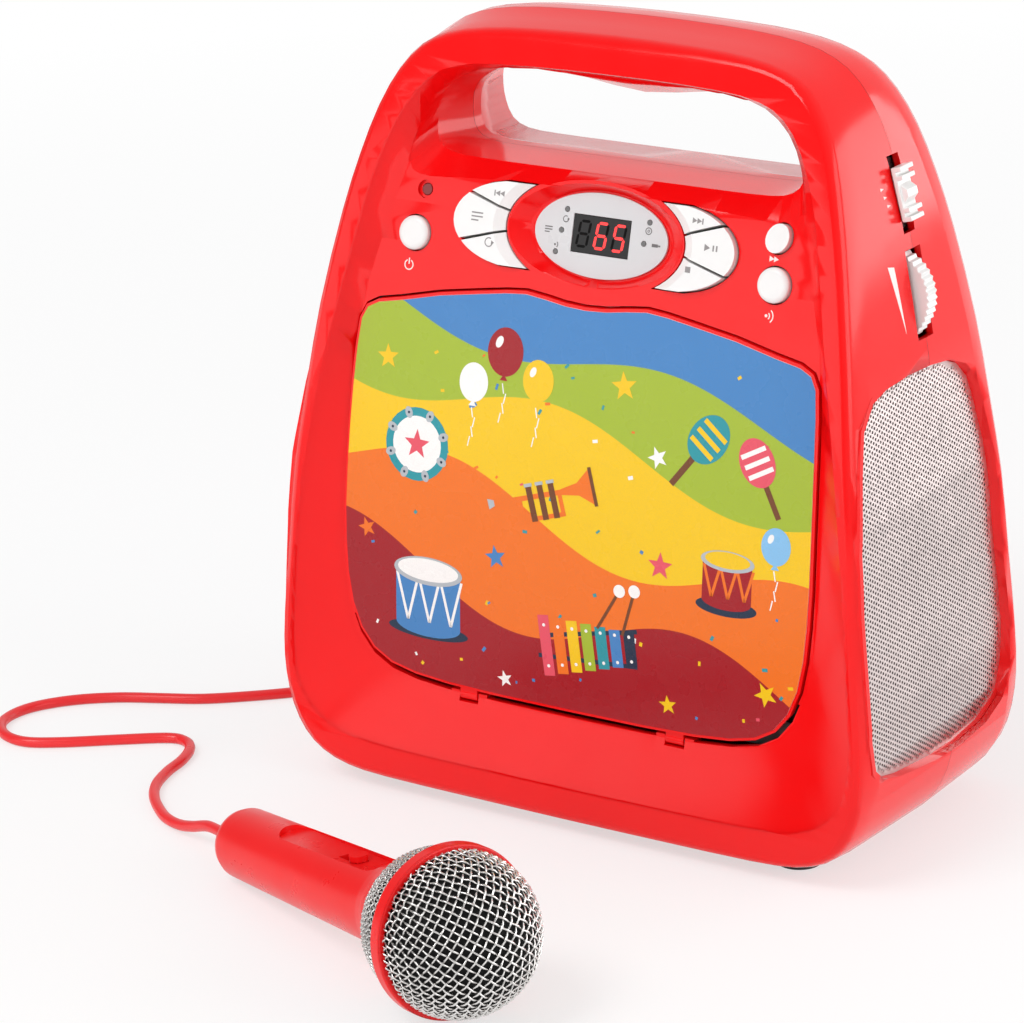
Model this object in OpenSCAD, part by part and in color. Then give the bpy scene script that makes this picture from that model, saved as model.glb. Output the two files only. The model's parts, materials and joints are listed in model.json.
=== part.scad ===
// Portable karaoke machine with a disc door, side speakers and a corded ball microphone.
// Frame: +X right, the front faces -Y, +Z up; the origin is on the table at the middle of the base.
// All sizes in millimetres.

/* [Case] */
// Greatest width, low on the sides
body_w = 242; // [226:1:262]
// How far the rim comes forward of the origin
body_front = 58.8; // [52:0.2:70]
// How far the back stands behind the origin
body_back = 63.4; // [56:0.2:75]
// Radius of the front's curve in side view
front_r = 660; // [560:10:900]
// Radius of the back's curve in side view
back_r = 820; // [600:10:1000]
// Wall of both shells
wall = 2.4; // [1.8:0.1:3.2]
// Where the shells meet, back from the origin
seam_y = 5; // [2:0.5:8]
// Depth of the recessed front panel behind the rim
recess_d = 8; // [6:0.5:11]
// Height of the rubber feet under the case
foot_h = 1.5; // [1:0.5:4]
// Radius of a rubber foot
foot_r = 8; // [5:0.5:10]
// Radius of the case screw bosses
boss_r = 6; // [5.5:0.5:7]

/* [Handle opening] */
// Height of the sill under the hand above the middle of the key clusters
sill_up = 18.2; // [17:0.2:22]
// Height of the opening above the sill
grip_h = 29.3; // [27:0.5:34]
// Height of the carrying bar above the opening
bar_h = 22; // [20:0.5:28]
// Half width of the opening at the seam
grip_half = 70.5; // [60:0.5:72]

/* [Disc door] */
// Door width
door_w = 188.4; // [180:0.5:188.5]
// Height of the door's lower edge
door_z = 44.5; // [43:0.5:47]
// Door height at its two high points
door_h = 145; // [142:0.5:145]
// Thickness of the door
door_t = 3; // [2.4:0.1:3.4]
// How far the door stands proud of the panel
door_proud = 1; // [0.4:0.1:1.6]
// Gap round the door
door_gap = 0.7; // [0.5:0.1:1]
// Distance of each hinge lug from the middle
lug_x = 42; // [25:1:55]
// Width of a hinge lug
lug_w = 7; // [5:0.5:10]
// Radius of the hinge pins
pin_r = 0.8; // [0.6:0.1:1]
// Running clearance of pins, rods and shafts
run_clear = 0.05; // [0.03:0.01:0.08]
// Widest opening of the door in degrees
door_open = 55; // [30:5:60]

/* [Keys] */
// How far the keys stand out of the panel
key_proud = 2.6; // [1.6:0.2:4]
// Travel of a key
key_travel = 1.2; // [0.8:0.1:1.6]
// Gap round a key
key_gap = 0.5; // [0.3:0.1:0.8]
// Radius of the round keys
round_r = 6; // [5:0.25:6.5]
// Height of the key clusters' middle above the door
keys_up = 23.465; // [22:0.5:26]

/* [Display] */
// Half width of the oval bezel
oval_a = 26.3; // [25:0.1:28]
// Half height of the oval bezel
oval_b = 14.6; // [13.5:0.1:16]
// Width of the display block
led_w = 22.6; // [20:0.2:26]
// Height of the display block
led_h = 13; // [10:0.2:14]

/* [Side controls] */
// Height of the function slider
func_z = 229.5; // [227:0.5:231]
// Length of the function slider's knob
func_len = 18.5; // [14:0.5:20]
// Travel of the function slider between its end positions
func_travel = 5.7; // [4:0.1:8]
// Height of the volume wheel
vol_z = 196; // [190:0.5:198]
// Radius of the volume wheel
vol_r = 17; // [14:0.5:18]
// Width of the volume wheel
vol_w = 6.4; // [5:0.2:7.4]

/* [Speakers] */
// Width of a grille
grille_w = 101; // [94:1:102]
// Height of a grille
grille_h = 137; // [124:1:140]
// Height of the middle of a grille
grille_z = 102.5; // [100:0.5:104]
// Radius of the loudspeaker's frame
spk_r = 38.5; // [33:0.5:40]
// Thickness of the grille sheet
grille_t = 1; // [0.6:0.1:1.2]

/* [Disc drive] */
// Radius of the disc well
well_r = 63; // [62:0.5:65]
// Travel of the laser sled
sled_travel = 34; // [28:1:36]

/* [Battery bay] */
// Width of the battery door
bat_w = 112; // [100:1:116]
// Height of the battery door
bat_h = 58; // [54:1:60]

/* [Microphone] */
// Radius of the mesh head
mic_r = 27.4; // [25:0.2:29]
// Length from the head's middle to the tail
mic_len = 138.4; // [130:0.2:150]
// Radius of the handle at the head
grip_r1 = 14.2; // [12:0.2:15]
// Radius of the handle at the tail
grip_r2 = 12.4; // [10:0.2:13]
// Width of the red ring round the head
ring_w = 5.4; // [4:0.2:8]
// Thickness of the cord
cord_d = 4; // [3.4:0.2:4.4]

/* [Hidden] */
red = [0.86, 0.05, 0.06];
white = [0.95, 0.94, 0.93];
steel = [0.72, 0.73, 0.74];
dark = [0.08, 0.08, 0.09];
eps = 0.01;
// longer than any side of the case
reach = 2 * body_w;
// heights that follow from the door, the keys and the opening
door_top = door_z + door_h * 0.983;
keys_z = door_top + keys_up;
round_z = keys_z - 7.4;
skip_z = keys_z + 7.6;
sill_z = keys_z + sill_up;
body_h = sill_z + grip_h + bar_h;
// outlines are drawn at these heights, and follow the pieces when a size changes
drawn_z = [[-50, foot_h - 51.5], [1.5, foot_h], [44.5, door_z], [187.035, door_top], [228.7, sill_z],
  [258, sill_z + grip_h], [280, body_h]];
function zz(z) = lookup(z, drawn_z);
front_z = 46;
back_z = 38;
fyc = front_r - body_front;
byc = body_back - back_r;

// ---- outlines, as the right half from bottom to top in [x, z] ----
function mir(p) = [-p[0], p[1]];
function cr(a, b, c, d, t) =
  0.5 * (2 * b + (c - a) * t + (2 * a - 5 * b + 4 * c - d) * t * t + (3 * b - a - 3 * c + d) * t * t * t);
function smooth(h, n) = let (m = len(h) - 1) concat([for (i = [0:m - 1]) for (j = [0:n - 1])
  cr(i == 0 ? mir(h[1]) : h[i - 1], h[i], h[i + 1], i == m - 1 ? mir(h[m - 1]) : h[i + 2], j / n)],
  [h[m]]);
function ring(h) = concat(h, [for (i = [len(h) - 2:-1:1]) mir(h[i])]);
function inset(r, d) = let (n = len(r)) [for (i = [0:n - 1])
  let (t = r[(i + 1) % n] - r[(i + n - 1) % n]) r[i] + d * [-t[1], t[0]] / norm(t)];
function front_y(z) = fyc - sqrt(front_r * front_r - (z - front_z) * (z - front_z));
function back_y(z) = byc + sqrt(back_r * back_r - (z - back_z) * (z - back_z));
function ellipse(a, b, n) = [for (i = [0:n - 1]) [a * cos(360 * i / n), b * sin(360 * i / n)]];

case_f = [[0, 0], [.33, .0006], [.62, .002], [.76, .0075], [.86, .023], [.93, .05], [.975, .089],
  [.997, .136], [1, .186], [.988, .257], [.975, .321], [.957, .429], [.928, .529], [.898, .632],
  [.85, .75], [.812, .821], [.769, .882], [.715, .929], [.645, .9625], [.554, .982], [.43, .9925],
  [.264, .9976], [0, 1]];
case_half = [for (p = case_f) [p[0] * body_w / 2, zz(1.5 + p[1] * 278.5)]];
case_ring = ring(smooth(case_half, 2));
side_tab = [for (p = case_half) [p[1], p[0]]];
function side_x(z) = lookup(z, side_tab);
function side_a(z) = atan((side_x(z + 6) - side_x(z - 6)) / 12);

// the rim's inner edge keeps its distance from the case; the panel keeps its distance from the door
sx = body_w / 242;
rim_half = [for (p = [[0, 18.3], [30, 18.35], [60, 18.6], [80, 19.4], [93, 21.4], [101.5, 25.5],
  [107.5, 31.5], [111, 40], [112.3, 52], [111.5, 68], [110, 88], [108, 108], [105.6, 126],
  [103, 143], [100, 160.5], [96.5, 178], [93, 195], [89.5, 212], [85.7, 227.5], [80.5, 241],
  [73.5, 252.5], [64.5, 259.5], [52, 262.6], [30, 263.9], [0, 264.2]]) [p[0] * sx, zz(p[1])]];
floor_half = [for (p = [[0, 41.4], [26, 41.8], [48, 42.5], [62, 43.6], [73, 45.5], [81, 48.8],
  [87.5, 54.5], [91.8, 62.5], [94.2, 74], [95.2, 86], [95.5, 100], [95.2, 115], [94.7, 130],
  [94, 145], [93, 160], [91.4, 175], [87.6, 192], [83.5, 207], [79.8, 220], [77.5, 233],
  [72, 246], [63.5, 255], [51, 260.3], [30, 262.6], [0, 263]]) [p[0] * sx, zz(p[1])]];
rim_ring = ring(smooth(rim_half, 2));
floor_ring = ring(smooth(floor_half, 2));
grip_f = [0, .43, .74, .9, .975, 1, 1, .98, .92, .82, .68, .35, 0];
function grip_ring(k, z) = ring(smooth([for (i = [0:12]) [grip_f[i] * k, zz(z[i])]], 2));
sill = 228.7;
g_mouth = ring(smooth([for (p = [[0, 224.5], [32, 224], [56, 222.6], [70, 221.4], [77, 222.8],
  [78.3, 228], [76.5, 236], [74, 243], [70, 250], [63, 256], [52, 260], [30, 262.3], [0, 262.8]])
  [p[0] * sx, zz(p[1])]], 2));
g_near = grip_ring(grip_half + 2.5, [sill, sill + .02, sill + .1, sill + .9, sill + 3.8, sill + 9.3,
  sill + 14.8, sill + 19.8, sill + 24.8, sill + 29.1, sill + 31.8, sill + 31, sill + 30]);
g_seam = grip_ring(grip_half, [sill, sill + .02, sill + .1, sill + .7, sill + 3.3, sill + 8.3,
  sill + 14.3, sill + 19.3, sill + 23.8, sill + 27.3, sill + 29.3, sill + 27.3, sill + 24.5]);
g_far = grip_ring(grip_half, [sill, sill + .02, sill + .1, sill + .7, sill + 3.3, sill + 8.3,
  sill + 14.3, sill + 19.3, sill + 23.8, sill + 27.3, sill + 29.3, sill + 29, sill + 28]);
g_back = grip_ring(grip_half + 9, [223.5, 223.55, 223.7, 224.6, 228, 234.5, 241, 248, 254.5, 259.3,
  261.8, 262.3, 262.6]);

// ---- solids swept between rings ----
function at_front(r, d) = [for (p = r) [p[0], front_y(p[1]) + d, p[1]]];
function at_back(r, d) = [for (p = r) [p[0], back_y(p[1]) - d, p[1]]];
function at_y(r, y) = [for (p = r) [p[0], y, p[1]]];
function cap(b, n, f) = [for (i = [0:n / 2 - 1]) let (q = i == 0 ? [0, 1, n - 1]
  : i == n / 2 - 1 ? [i, i + 1, i + 2] : [i, i + 1, n - i - 1, n - i])
  [for (k = [0:len(q) - 1]) b + q[f ? len(q) - 1 - k : k]]];
module loft(rs) {
  n = len(rs[0]);
  k = len(rs);
  polyhedron(points = [for (r = rs) each r], faces = concat(cap(0, n, true), cap((k - 1) * n, n, false),
    [for (j = [0:k - 2]) for (i = [0:n - 1]) [j * n + i, j * n + (i + 1) % n, (j + 1) * n + (i + 1) % n]],
    [for (j = [0:k - 2]) for (i = [0:n - 1]) [j * n + i, (j + 1) * n + (i + 1) % n, (j + 1) * n + i]]));
}
module prism_y(r, y0, y1) translate([0, y1, 0]) rotate([90, 0, 0]) linear_extrude(y1 - y0) polygon(r);
module prism_x(r, x0, x1) translate([x0, 0, 0]) rotate([90, 0, 90]) linear_extrude(x1 - x0) polygon(r);
// everything deeper than d behind the rim's curved face
module behind(d) translate([-200, fyc, front_z]) rotate([0, 90, 0]) cylinder(r = front_r - d, h = 400, $fn = 720);
module within_back(d) translate([-200, byc, back_z]) rotate([0, 90, 0]) cylinder(r = back_r - d, h = 400, $fn = 900);
// local frame on the panel: +Z outward, +Y up along it
module on_face(x, z, d = recess_d) {
  th = asin((z - front_z) / (front_r - d));
  translate([x, fyc - (front_r - d) * cos(th), z]) rotate([90 - th, 0, 0]) children();
}
// local frame on the right side at the seam: +X outward, +Z up along it
module on_side(z, y = seam_y) translate([side_x(z), y, z]) rotate([0, side_a(z), 0]) children();

module outer() loft([at_front(inset(case_ring, 6.4), 0), at_front(inset(case_ring, 4.3), 0.9),
  at_front(inset(case_ring, 3.2), 3.2), at_front(inset(case_ring, 2.2), 12), at_y(case_ring, seam_y),
  at_back(case_ring, 16), at_back(inset(case_ring, 1.2), 8), at_back(inset(case_ring, 3.6), 3),
  at_back(inset(case_ring, 8.5), 0)]);
module cavity() loft([at_front(inset(case_ring, 6.4 + wall), wall),
  at_front(inset(case_ring, 3 + wall), wall + 2.5), at_y(inset(case_ring, wall), seam_y),
  at_back(inset(case_ring, wall), 16), at_back(inset(case_ring, 2.4 + wall), 4 + wall),
  at_back(inset(case_ring, 8.5 + wall), wall)]);
module recess(g) {
  loft([at_front(inset(rim_ring, -2 - g), -3), at_front(inset(rim_ring, -g), 1.4),
    at_front(inset(floor_ring, -g), recess_d + g)]);
  loft([at_front(inset(g_mouth, -g), recess_d - 1.5), at_front(inset(g_near, -g), recess_d + 8),
    at_y(inset(g_seam, -g), seam_y), at_y(inset(g_far, -g), seam_y + 5),
    at_back(inset(g_back, -g), -2)]);
}

// ---- door ----
door_f = [[0, 0], [.32, .001], [.53, .005], [.68, .014], [.787, .03], [.867, .06], [.925, .107],
  [.964, .169], [.986, .245], [.996, .327], [1, .41], [.998, .507], [.994, .61], [.988, .714],
  [.98, .81], [.969, .879], [.943, .912], [.892, .929], [.796, .941], [.626, .966], [.462, .983],
  [.34, .995], [.255, 1], [.17, .994], [.085, .986], [0, .983]];
door_half = [for (p = door_f) [p[0] * door_w / 2, door_z + p[1] * door_h]];
door_ring = ring(door_half);
door_d = recess_d - door_proud;
hinge_z = door_z - 2.3;
hinge_d = door_d + 2.3;
hinge_y = front_y(hinge_z) + hinge_d;
knuckle_r = 2;
lug_gap = 0.4;
ear_w = 3.5;
pin_l = lug_w + 2 * lug_gap + 2 * ear_w;

// ---- keys: outlines in the panel's own plane, measured from the clusters' middle ----
lob_a = 25.5;
lob_b = 14.8;
lob_x = oval_a + 3.7;
hub_a = lob_x + 5.6;
hub_b = 20.5;
function hub_x(z) = hub_a * sqrt(max(0, 1 - z * z / (hub_b * hub_b)));
function lob_o(z) = lob_x + lob_a * sqrt(max(0, 1 - z * z / (lob_b * lob_b)));
cres_top = 14.4;
// one key between heights a and b at its inner side; the split lines rise and fall outward
function cres(a, b, ga, gb) = let (n = 8)
  concat([for (i = [0:n]) let (z = a + (b - a) * i / n) [hub_x(z), z]],
  [for (i = [n:-1:0]) let (z = (a + ga) + (b + gb - a - ga) * i / n) [lob_o(z), z]]);
cut_top = 4.6;
cut_low = -2.6;
fan = 4.8;
function flip(o, s) = s > 0 ? o : [for (i = [len(o) - 1:-1:0]) mir(o[i])];
key_gap_in = 0.8;
function cres_key(k, s) = flip(k == 0 ? cres(cut_top + key_gap_in / 2, cres_top, fan, 0)
  : k == 1 ? cres(cut_low + key_gap_in / 2, cut_top - key_gap_in / 2, -fan, fan)
  : cres(-cres_top, cut_low - key_gap_in / 2, 0, -fan), s);
function cres_hole(s) = flip(let (n = 20, e = key_gap) concat(
  [for (i = [0:n]) let (z = -cres_top - e + 2 * (cres_top + e) * i / n) [hub_x(z) - e * 1.2, z]],
  [for (i = [n:-1:0]) let (z = -cres_top + 2 * cres_top * i / n) [lob_o(z) + e * 1.1, z * (1 + e / cres_top)]]), s);
oval_key = [for (p = ellipse(4.2, 5.2, 24)) [p[0] * cos(25) + p[1] * sin(25), p[1] * cos(25) - p[0] * sin(25)]];
power_x = -71.9;
right_x = 70.6;
dish_a = oval_a + 7.9;
dish_b = oval_b + 3.2;
dish_in = 4.9;
floor_a = oval_a + 0.7;
floor_b = oval_b + 0.7;
module oval_cone(a0, b0, a1, b1, h) linear_extrude(h, scale = [a1 / a0, b1 / b0]) polygon(ellipse(a0, b0, 72));
key_back = wall + 1.1;

// a key with its guide flange, which is wider than the hole in the panel
module key(o, c, w = 4) {
  color(white) {
    translate([0, 0, -key_back]) linear_extrude(key_back + key_proud) polygon(o);
    translate([c[0] - w / 2, c[1] - 2, -key_back - 1.6]) cube([w, 4, 1.6 + eps]);
  }
}
// a key of a cluster, sloped where it faces the display
module fan_key(k, s, x, y) on_face(0, keys_z) difference() {
  key(cres_key(k, s), [s * (lob_x + x), y]);
  translate([0, 0, 0.2]) oval_cone(hub_a - 0.3, hub_b - 0.3, hub_a + slope_w * 3 / 2.4, hub_b + slope_w * 2 / 2.4, 3);
}
slope_w = 3.75;
module round_key(r) {
  color(white) rotate_extrude($fn = 72) polygon([[0, -key_back - 1.6], [2.2, -key_back - 1.6],
    [2.2, -key_back], [r, -key_back], [r, key_proud - 1], [r - 0.9, key_proud - 0.25],
    [r - 2, key_proud], [0, key_proud]]);
}

// ---- screw places, feet ----
screw_p = [[-96 * sx, 30], [96 * sx, 30], [-68, door_top + 2.5], [68, door_top + 2.5]];
foot_x = body_w * 0.34;
foot_y = [-36, 38];
screw_r = 1.4;
screw_y = seam_y + 9;

// ---- speaker grille outline in [y, z], as shares of its half sizes ----
grille_f = [[.42, .969], [.14, .996], [-.15, 1], [-.44, .985], [-.62, .95], [-.78, .84], [-.86, .64],
  [-.97, .28], [-1, -.03], [-1, -.34], [-.998, -.66], [-.95, -.825], [-.83, -.898], [-.6, -.94],
  [-.36, -.963], [-.07, -.99], [.31, -1], [.65, -.978], [.87, -.898], [.97, -.736], [1, -.54],
  [.99, -.338], [.957, -.077], [.94, .242], [.905, .46], [.825, .68], [.76, .82], [.63, .91]];
grille_y = -1.2;
grille_in = 3.6;
function grille_ring(e) = let (r = [for (p = grille_f)
  [grille_y + p[0] * grille_w / 2, grille_z + p[1] * grille_h / 2]]) inset(r, -e);
module side_slab(a, b) {
  zs = [for (i = [0:9]) grille_z - grille_h / 2 - 6 + (grille_h + 12) * i / 9];
  prism_y(concat([for (z = zs) [side_x(z) - a, z]], [for (i = [9:-1:0]) [side_x(zs[i]) - b, zs[i]]]), -70, 70);
}
// keeps b < a: slab from depth b to depth a under the side
module grille_slab(e, a, b) intersection() {
  side_slab(b, a);
  prism_x(grille_ring(e), 50, 160);
}
spk_z = grille_z - 4;
spk_in = grille_in + 5.4;
module both() {
  children();
  mirror([1, 0, 0]) children();
}

// ---- side control slots ----
func_slot = func_len + func_travel + 2.4;
vol_in = 12;
vol_slot = 2 * sqrt(vol_r * vol_r - pow(vol_in - 3, 2)) + 2;
module side_slots() {
  on_side(func_z) translate([-8, -3.7, -func_slot / 2]) cube([16, 7.4, func_slot]);
  on_side(vol_z) translate([-9, -5.1, -vol_slot / 2]) cube([18, 10.2, vol_slot]);
}

module bare_shell() difference() {
  union() {
    difference() {
      outer();
      difference() {
        cavity();
        recess(wall);
      }
    }
    // grille seats and speaker baffles
    both() {
      difference() {
        grille_slab(2.6, spk_in, wall - 0.4);
        grille_slab(-3, 30, -30);
      }
      difference() {
        grille_slab(2.6, spk_in, spk_in - 2);
        on_side(spk_z, grille_y) translate([-40, 0, 0]) rotate([0, 90, 0]) cylinder(r = spk_r - 4, h = 80, $fn = 96);
      }
      on_side(spk_z, grille_y) translate([-spk_in - 1, 0, 0]) rotate([0, 90, 0]) difference() {
        cylinder(r = spk_r, h = 2.4, $fn = 96);
        translate([0, 0, -1]) cylinder(r = spk_r - 4, h = 5, $fn = 96);
      }
    }
  }
  both() grille_slab(0.4, grille_in + grille_t, -30);
  recess(0);
  side_slots();
  for (s = [-1, 1]) for (y = foot_y) translate([s * foot_x, y, -1]) cylinder(r = foot_r, h = foot_h + 2.7, $fn = 64);
}

module front_shell() {
  color(red) difference() {
    union() {
      intersection() {
        bare_shell();
        translate([-reach / 2, seam_y - reach, -reach / 8]) cube(reach);
      }
      // screw bosses
      difference() {
        intersection() {
          for (p = screw_p) translate([p[0], seam_y, p[1]]) rotate([90, 0, 0]) cylinder(r = boss_r - 1.2, h = 70, $fn = 48);
          behind(wall / 2);
        }
        recess(0);
      }
      // back of the oval dish round the display
      on_face(0, keys_z) translate([0, 0, -dish_in - wall])
        oval_cone(floor_a + 1.4, floor_b + 0.6, dish_a + 0.5, dish_b + 0.9, dish_in + wall - 0.4);
      // posts that carry the control board
      for (p = posts) on_face(0, keys_z) translate([p[0], p[1], -pcb_in]) cylinder(r = 2.5, h = pcb_in - wall / 2, $fn = 32);
      // ears that hold the hinge pins
      for (s = [-1, 1]) for (e = [-1, 1])
        translate([s * lug_x + e * (lug_w / 2 + lug_gap + ear_w / 2) - ear_w / 2, hinge_y - 1.3, hinge_z - 3.4])
          cube([ear_w, 5.3, 4.7]);
    }
    // door opening, lower under the door for the hinge lugs
    difference() {
      union() {
        prism_y(inset(door_ring, -door_gap), -80, -24);
        translate([0, 0, -1.8]) prism_y(inset(door_ring, -door_gap), -80, -24);
      }
      translate([-150, -90, door_z + 20]) difference() {
        cube([300, 90, 200]);
        translate([0, 0, -1]) prism_y([for (p = inset(door_ring, -door_gap)) p + [150, -door_z - 20 + 1]], 0, 90);
      }
      for (s = [-1, 1]) for (e = [-1, 1])
        translate([s * lug_x + e * (lug_w / 2 + lug_gap + ear_w / 2) - ear_w / 2, hinge_y - 1.3, hinge_z - 3.4])
          cube([ear_w, 5.3, 4.7]);
    }
    for (s = [-1, 1]) translate([s * lug_x - lug_w / 2 - lug_gap, hinge_y - 6, hinge_z - knuckle_r - 0.6])
      cube([lug_w + 2 * lug_gap, 9, 6]);
    for (s = [-1, 1]) translate([s * lug_x - pin_l / 2, hinge_y, hinge_z]) rotate([0, 90, 0]) cylinder(r = pin_r, h = pin_l, $fn = 48);
    // oval dish, open to the front
    on_face(0, keys_z) translate([0, 0, -dish_in]) oval_cone(floor_a, floor_b,
      floor_a + (dish_a - floor_a) * (1 + 2 / dish_in), floor_b + (dish_b - floor_b) * (1 + 2 / dish_in), dish_in + 2);
    // key holes
    for (s = [-1, 1]) on_face(0, keys_z) translate([0, 0, -9]) linear_extrude(18) polygon(cres_hole(s));
    on_face(power_x, round_z) translate([0, 0, -9]) cylinder(r = round_r + key_gap, h = 18, $fn = 64);
    on_face(right_x, round_z) translate([0, 0, -9]) cylinder(r = round_r + key_gap, h = 18, $fn = 64);
    on_face(right_x, skip_z) translate([0, 0, -9]) linear_extrude(18) polygon(inset(oval_key, -key_gap));
    on_face(power_x + 2.2, skip_z) translate([0, 0, -9]) cylinder(r = 2.2, h = 18, $fn = 32);
    on_face(power_x + 2.2, skip_z) translate([0, 0, -1]) cylinder(r = 3.2, h = 18, $fn = 48);
    // display window and lights
    on_face(0, keys_z) translate([-led_w / 2 - 0.2, -led_h / 2 - 0.2, -9]) cube([led_w + 0.4, led_h + 0.4, 18]);
    for (p = dots) on_face(0, keys_z) translate([p[0], p[1], -9]) cylinder(r = dot_r, h = 18, $fn = 32);
    // screw pilots
    for (p = screw_p) translate([p[0], seam_y + 1, p[1]]) rotate([90, 0, 0]) cylinder(r = screw_r, h = 17, $fn = 32);
  }
}
dot_r = 1;
dots = [[-14.3, 7.6], [-15.7, 0.3], [-17.2, -7.3], [18.4, 6.9], [17, -0.5]];

module rear_shell() {
  color(red) difference() {
    union() {
      intersection() {
        bare_shell();
        translate([-reach / 2, seam_y, -reach / 8]) cube(reach);
      }
      intersection() {
        union() {
          for (p = screw_p) translate([p[0], seam_y, p[1]]) rotate([-90, 0, 0]) cylinder(r = boss_r, h = 80, $fn = 48);
          for (s = [-1, 1]) for (z = [board_z - 32, board_z + 32])
            translate([s * 44, board_y + 1.6, z]) rotate([-90, 0, 0]) cylinder(r = 3, h = 80, $fn = 32);
        }
        within_back(wall / 2);
      }
      // seat of the volume control on the inside of the wall
      on_side(vol_z) translate([8.5 - vol_in, vol_w / 2 + 2, -8]) cube([vol_in - 8.5 - wall / 2, 5, 16]);
    }
    for (p = screw_p) {
      translate([p[0], seam_y - 1, p[1]]) rotate([-90, 0, 0]) cylinder(r = screw_r + 0.3, h = 40, $fn = 32);
      translate([p[0], screw_y, p[1]]) rotate([-90, 0, 0]) cylinder(r = screw_head_r + 0.6, h = 80, $fn = 48);
    }
    // battery bay, sockets
    translate([-bat_w / 2 - 0.4, 30, bat_z - 0.4]) cube([bat_w + 0.8, 60, bat_h + 0.8]);
    translate([sock_x, 30, sock_z]) rotate([-90, 0, 0]) cylinder(r = sock_r, h = 60, $fn = 48);
    translate([-sock_x, 30, sock_z]) rotate([-90, 0, 0]) cylinder(r = inlet_r, h = 60, $fn = 48);
    translate([-sock_x - usb_w / 2, 30, usb_z - usb_h / 2]) cube([usb_w, 60, usb_h]);
  }
}
screw_head_r = 2.8;
board_z = 140;
board_y = 24;
bat_z = 13;
sock_x = 43 - body_w / 2;
sock_z = 62;
sock_r = 5;
inlet_r = 4.6;
usb_z = 92;
usb_w = 14;
usb_h = 6.6;

module cd_door() {
  color(red) difference() {
    union() {
      intersection() {
        prism_y(door_ring, -80, -20);
        difference() {
          behind(door_d);
          behind(door_d + door_t);
        }
      }
      for (s = [-1, 1]) translate([s * lug_x - lug_w / 2, hinge_y, hinge_z]) {
        rotate([0, 90, 0]) cylinder(r = knuckle_r, h = lug_w, $fn = 48);
        translate([0, -1.6, 0]) cube([lug_w, 1.6 + 0.6, 6]);
      }
      // catch tab behind the top edge
      translate([-5, front_y(door_top - 3) + door_d + door_t - 0.4, door_top - 5]) cube([10, 5.4, 2.4]);
    }
    for (s = [-1, 1]) translate([s * lug_x - lug_w, hinge_y, hinge_z]) rotate([0, 90, 0])
      cylinder(r = pin_r + run_clear, h = 2 * lug_w, $fn = 48);
  }
}

module door_print() {
  color([0.95, 0.75, 0.15]) intersection() {
    prism_y(inset(door_ring, 1.1), -80, -20);
    difference() {
      behind(door_d - 0.3);
      behind(door_d);
    }
  }
}

module door_hinge_pins() {
  color(steel) for (s = [-1, 1]) translate([s * lug_x - pin_l / 2, hinge_y, hinge_z]) rotate([0, 90, 0])
    cylinder(r = pin_r, h = pin_l, $fn = 48);
}

// spring catch on the back of the panel over the door
module door_catch() {
  y0 = front_y(door_top + 4) + recess_d + wall;
  color(white) {
    translate([-7, y0 + 0.3, door_top + 1]) cube([14, 5, 4]);
    translate([-7, y0 + 5.3 - eps, door_top - 7]) cube([14, 1.2, 12]);
  }
}

module display_bezel() {
  color([0.72, 0.72, 0.73]) on_face(0, keys_z) translate([0, 0, -dish_in]) difference() {
    linear_extrude(1) polygon(ellipse(oval_a, oval_b, 96));
    translate([-led_w / 2 - 0.1, -led_h / 2 - 0.1, -1]) cube([led_w + 0.2, led_h + 0.2, 3]);
    for (p = dots) translate([p[0], p[1], -1]) cylinder(r = dot_r, h = 3, $fn = 32);
  }
}

module display_block() {
  color(dark) on_face(0, keys_z) translate([-led_w / 2, -led_h / 2, -pcb_in]) cube([led_w, led_h, pcb_in - dish_in + 0.7]);
}
pcb_in = 9;
pcb_t = 1.6;

module indicator_lights() {
  color([0.4, 0.4, 0.42]) on_face(0, keys_z) for (p = dots)
    translate([p[0], p[1], -pcb_in]) cylinder(r = dot_r - 0.05, h = pcb_in - dish_in + 1.1, $fn = 32);
}

module power_light() {
  color([0.35, 0.02, 0.03]) on_face(power_x + 2.2, skip_z) {
    translate([0, 0, -6]) cylinder(r = 2.1, h = 5.2, $fn = 48);
    translate([0, 0, -wall - 1]) cylinder(r = 3, h = 0.9, $fn = 48);
  }
}

module key_power() on_face(power_x, round_z) round_key(round_r);
module key_pairing() on_face(right_x, round_z) round_key(round_r);
module key_skip() on_face(right_x, skip_z) key(oval_key, [0, 0]);
module key_previous() fan_key(0, -1, 6, 10);
module key_programme() fan_key(1, -1, 14, 1);
module key_repeat() fan_key(2, -1, 8, -9);
module key_next() fan_key(0, 1, 6, 10);
module key_play() fan_key(1, 1, 14, 1);
module key_stop() fan_key(2, 1, 8, -9);

sw = concat([for (s = [-1, 1]) for (p = [[6, 10], [14, 1], [8, -9]]) [s * (lob_x + p[0]), p[1]]],
  [for (p = [[power_x, round_z], [right_x, round_z], [right_x, skip_z]]) [p[0], p[1] - keys_z]]);
sw_top = key_back + 1.6 + key_travel + 0.3;
posts = [[-60, 7], [-60, -11], [57, 7], [57, -11]];
module control_board() {
  color([0.1, 0.35, 0.15]) on_face(0, keys_z) {
    translate([power_x - 7, -13.5, -pcb_in - pcb_t]) cube([right_x + 7 - power_x + 7, 24, pcb_t]);
    for (p = sw) translate([p[0] - 2.5, p[1] - 2.5, -pcb_in - eps]) cube([5, 5, pcb_in - sw_top]);
  }
}

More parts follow.
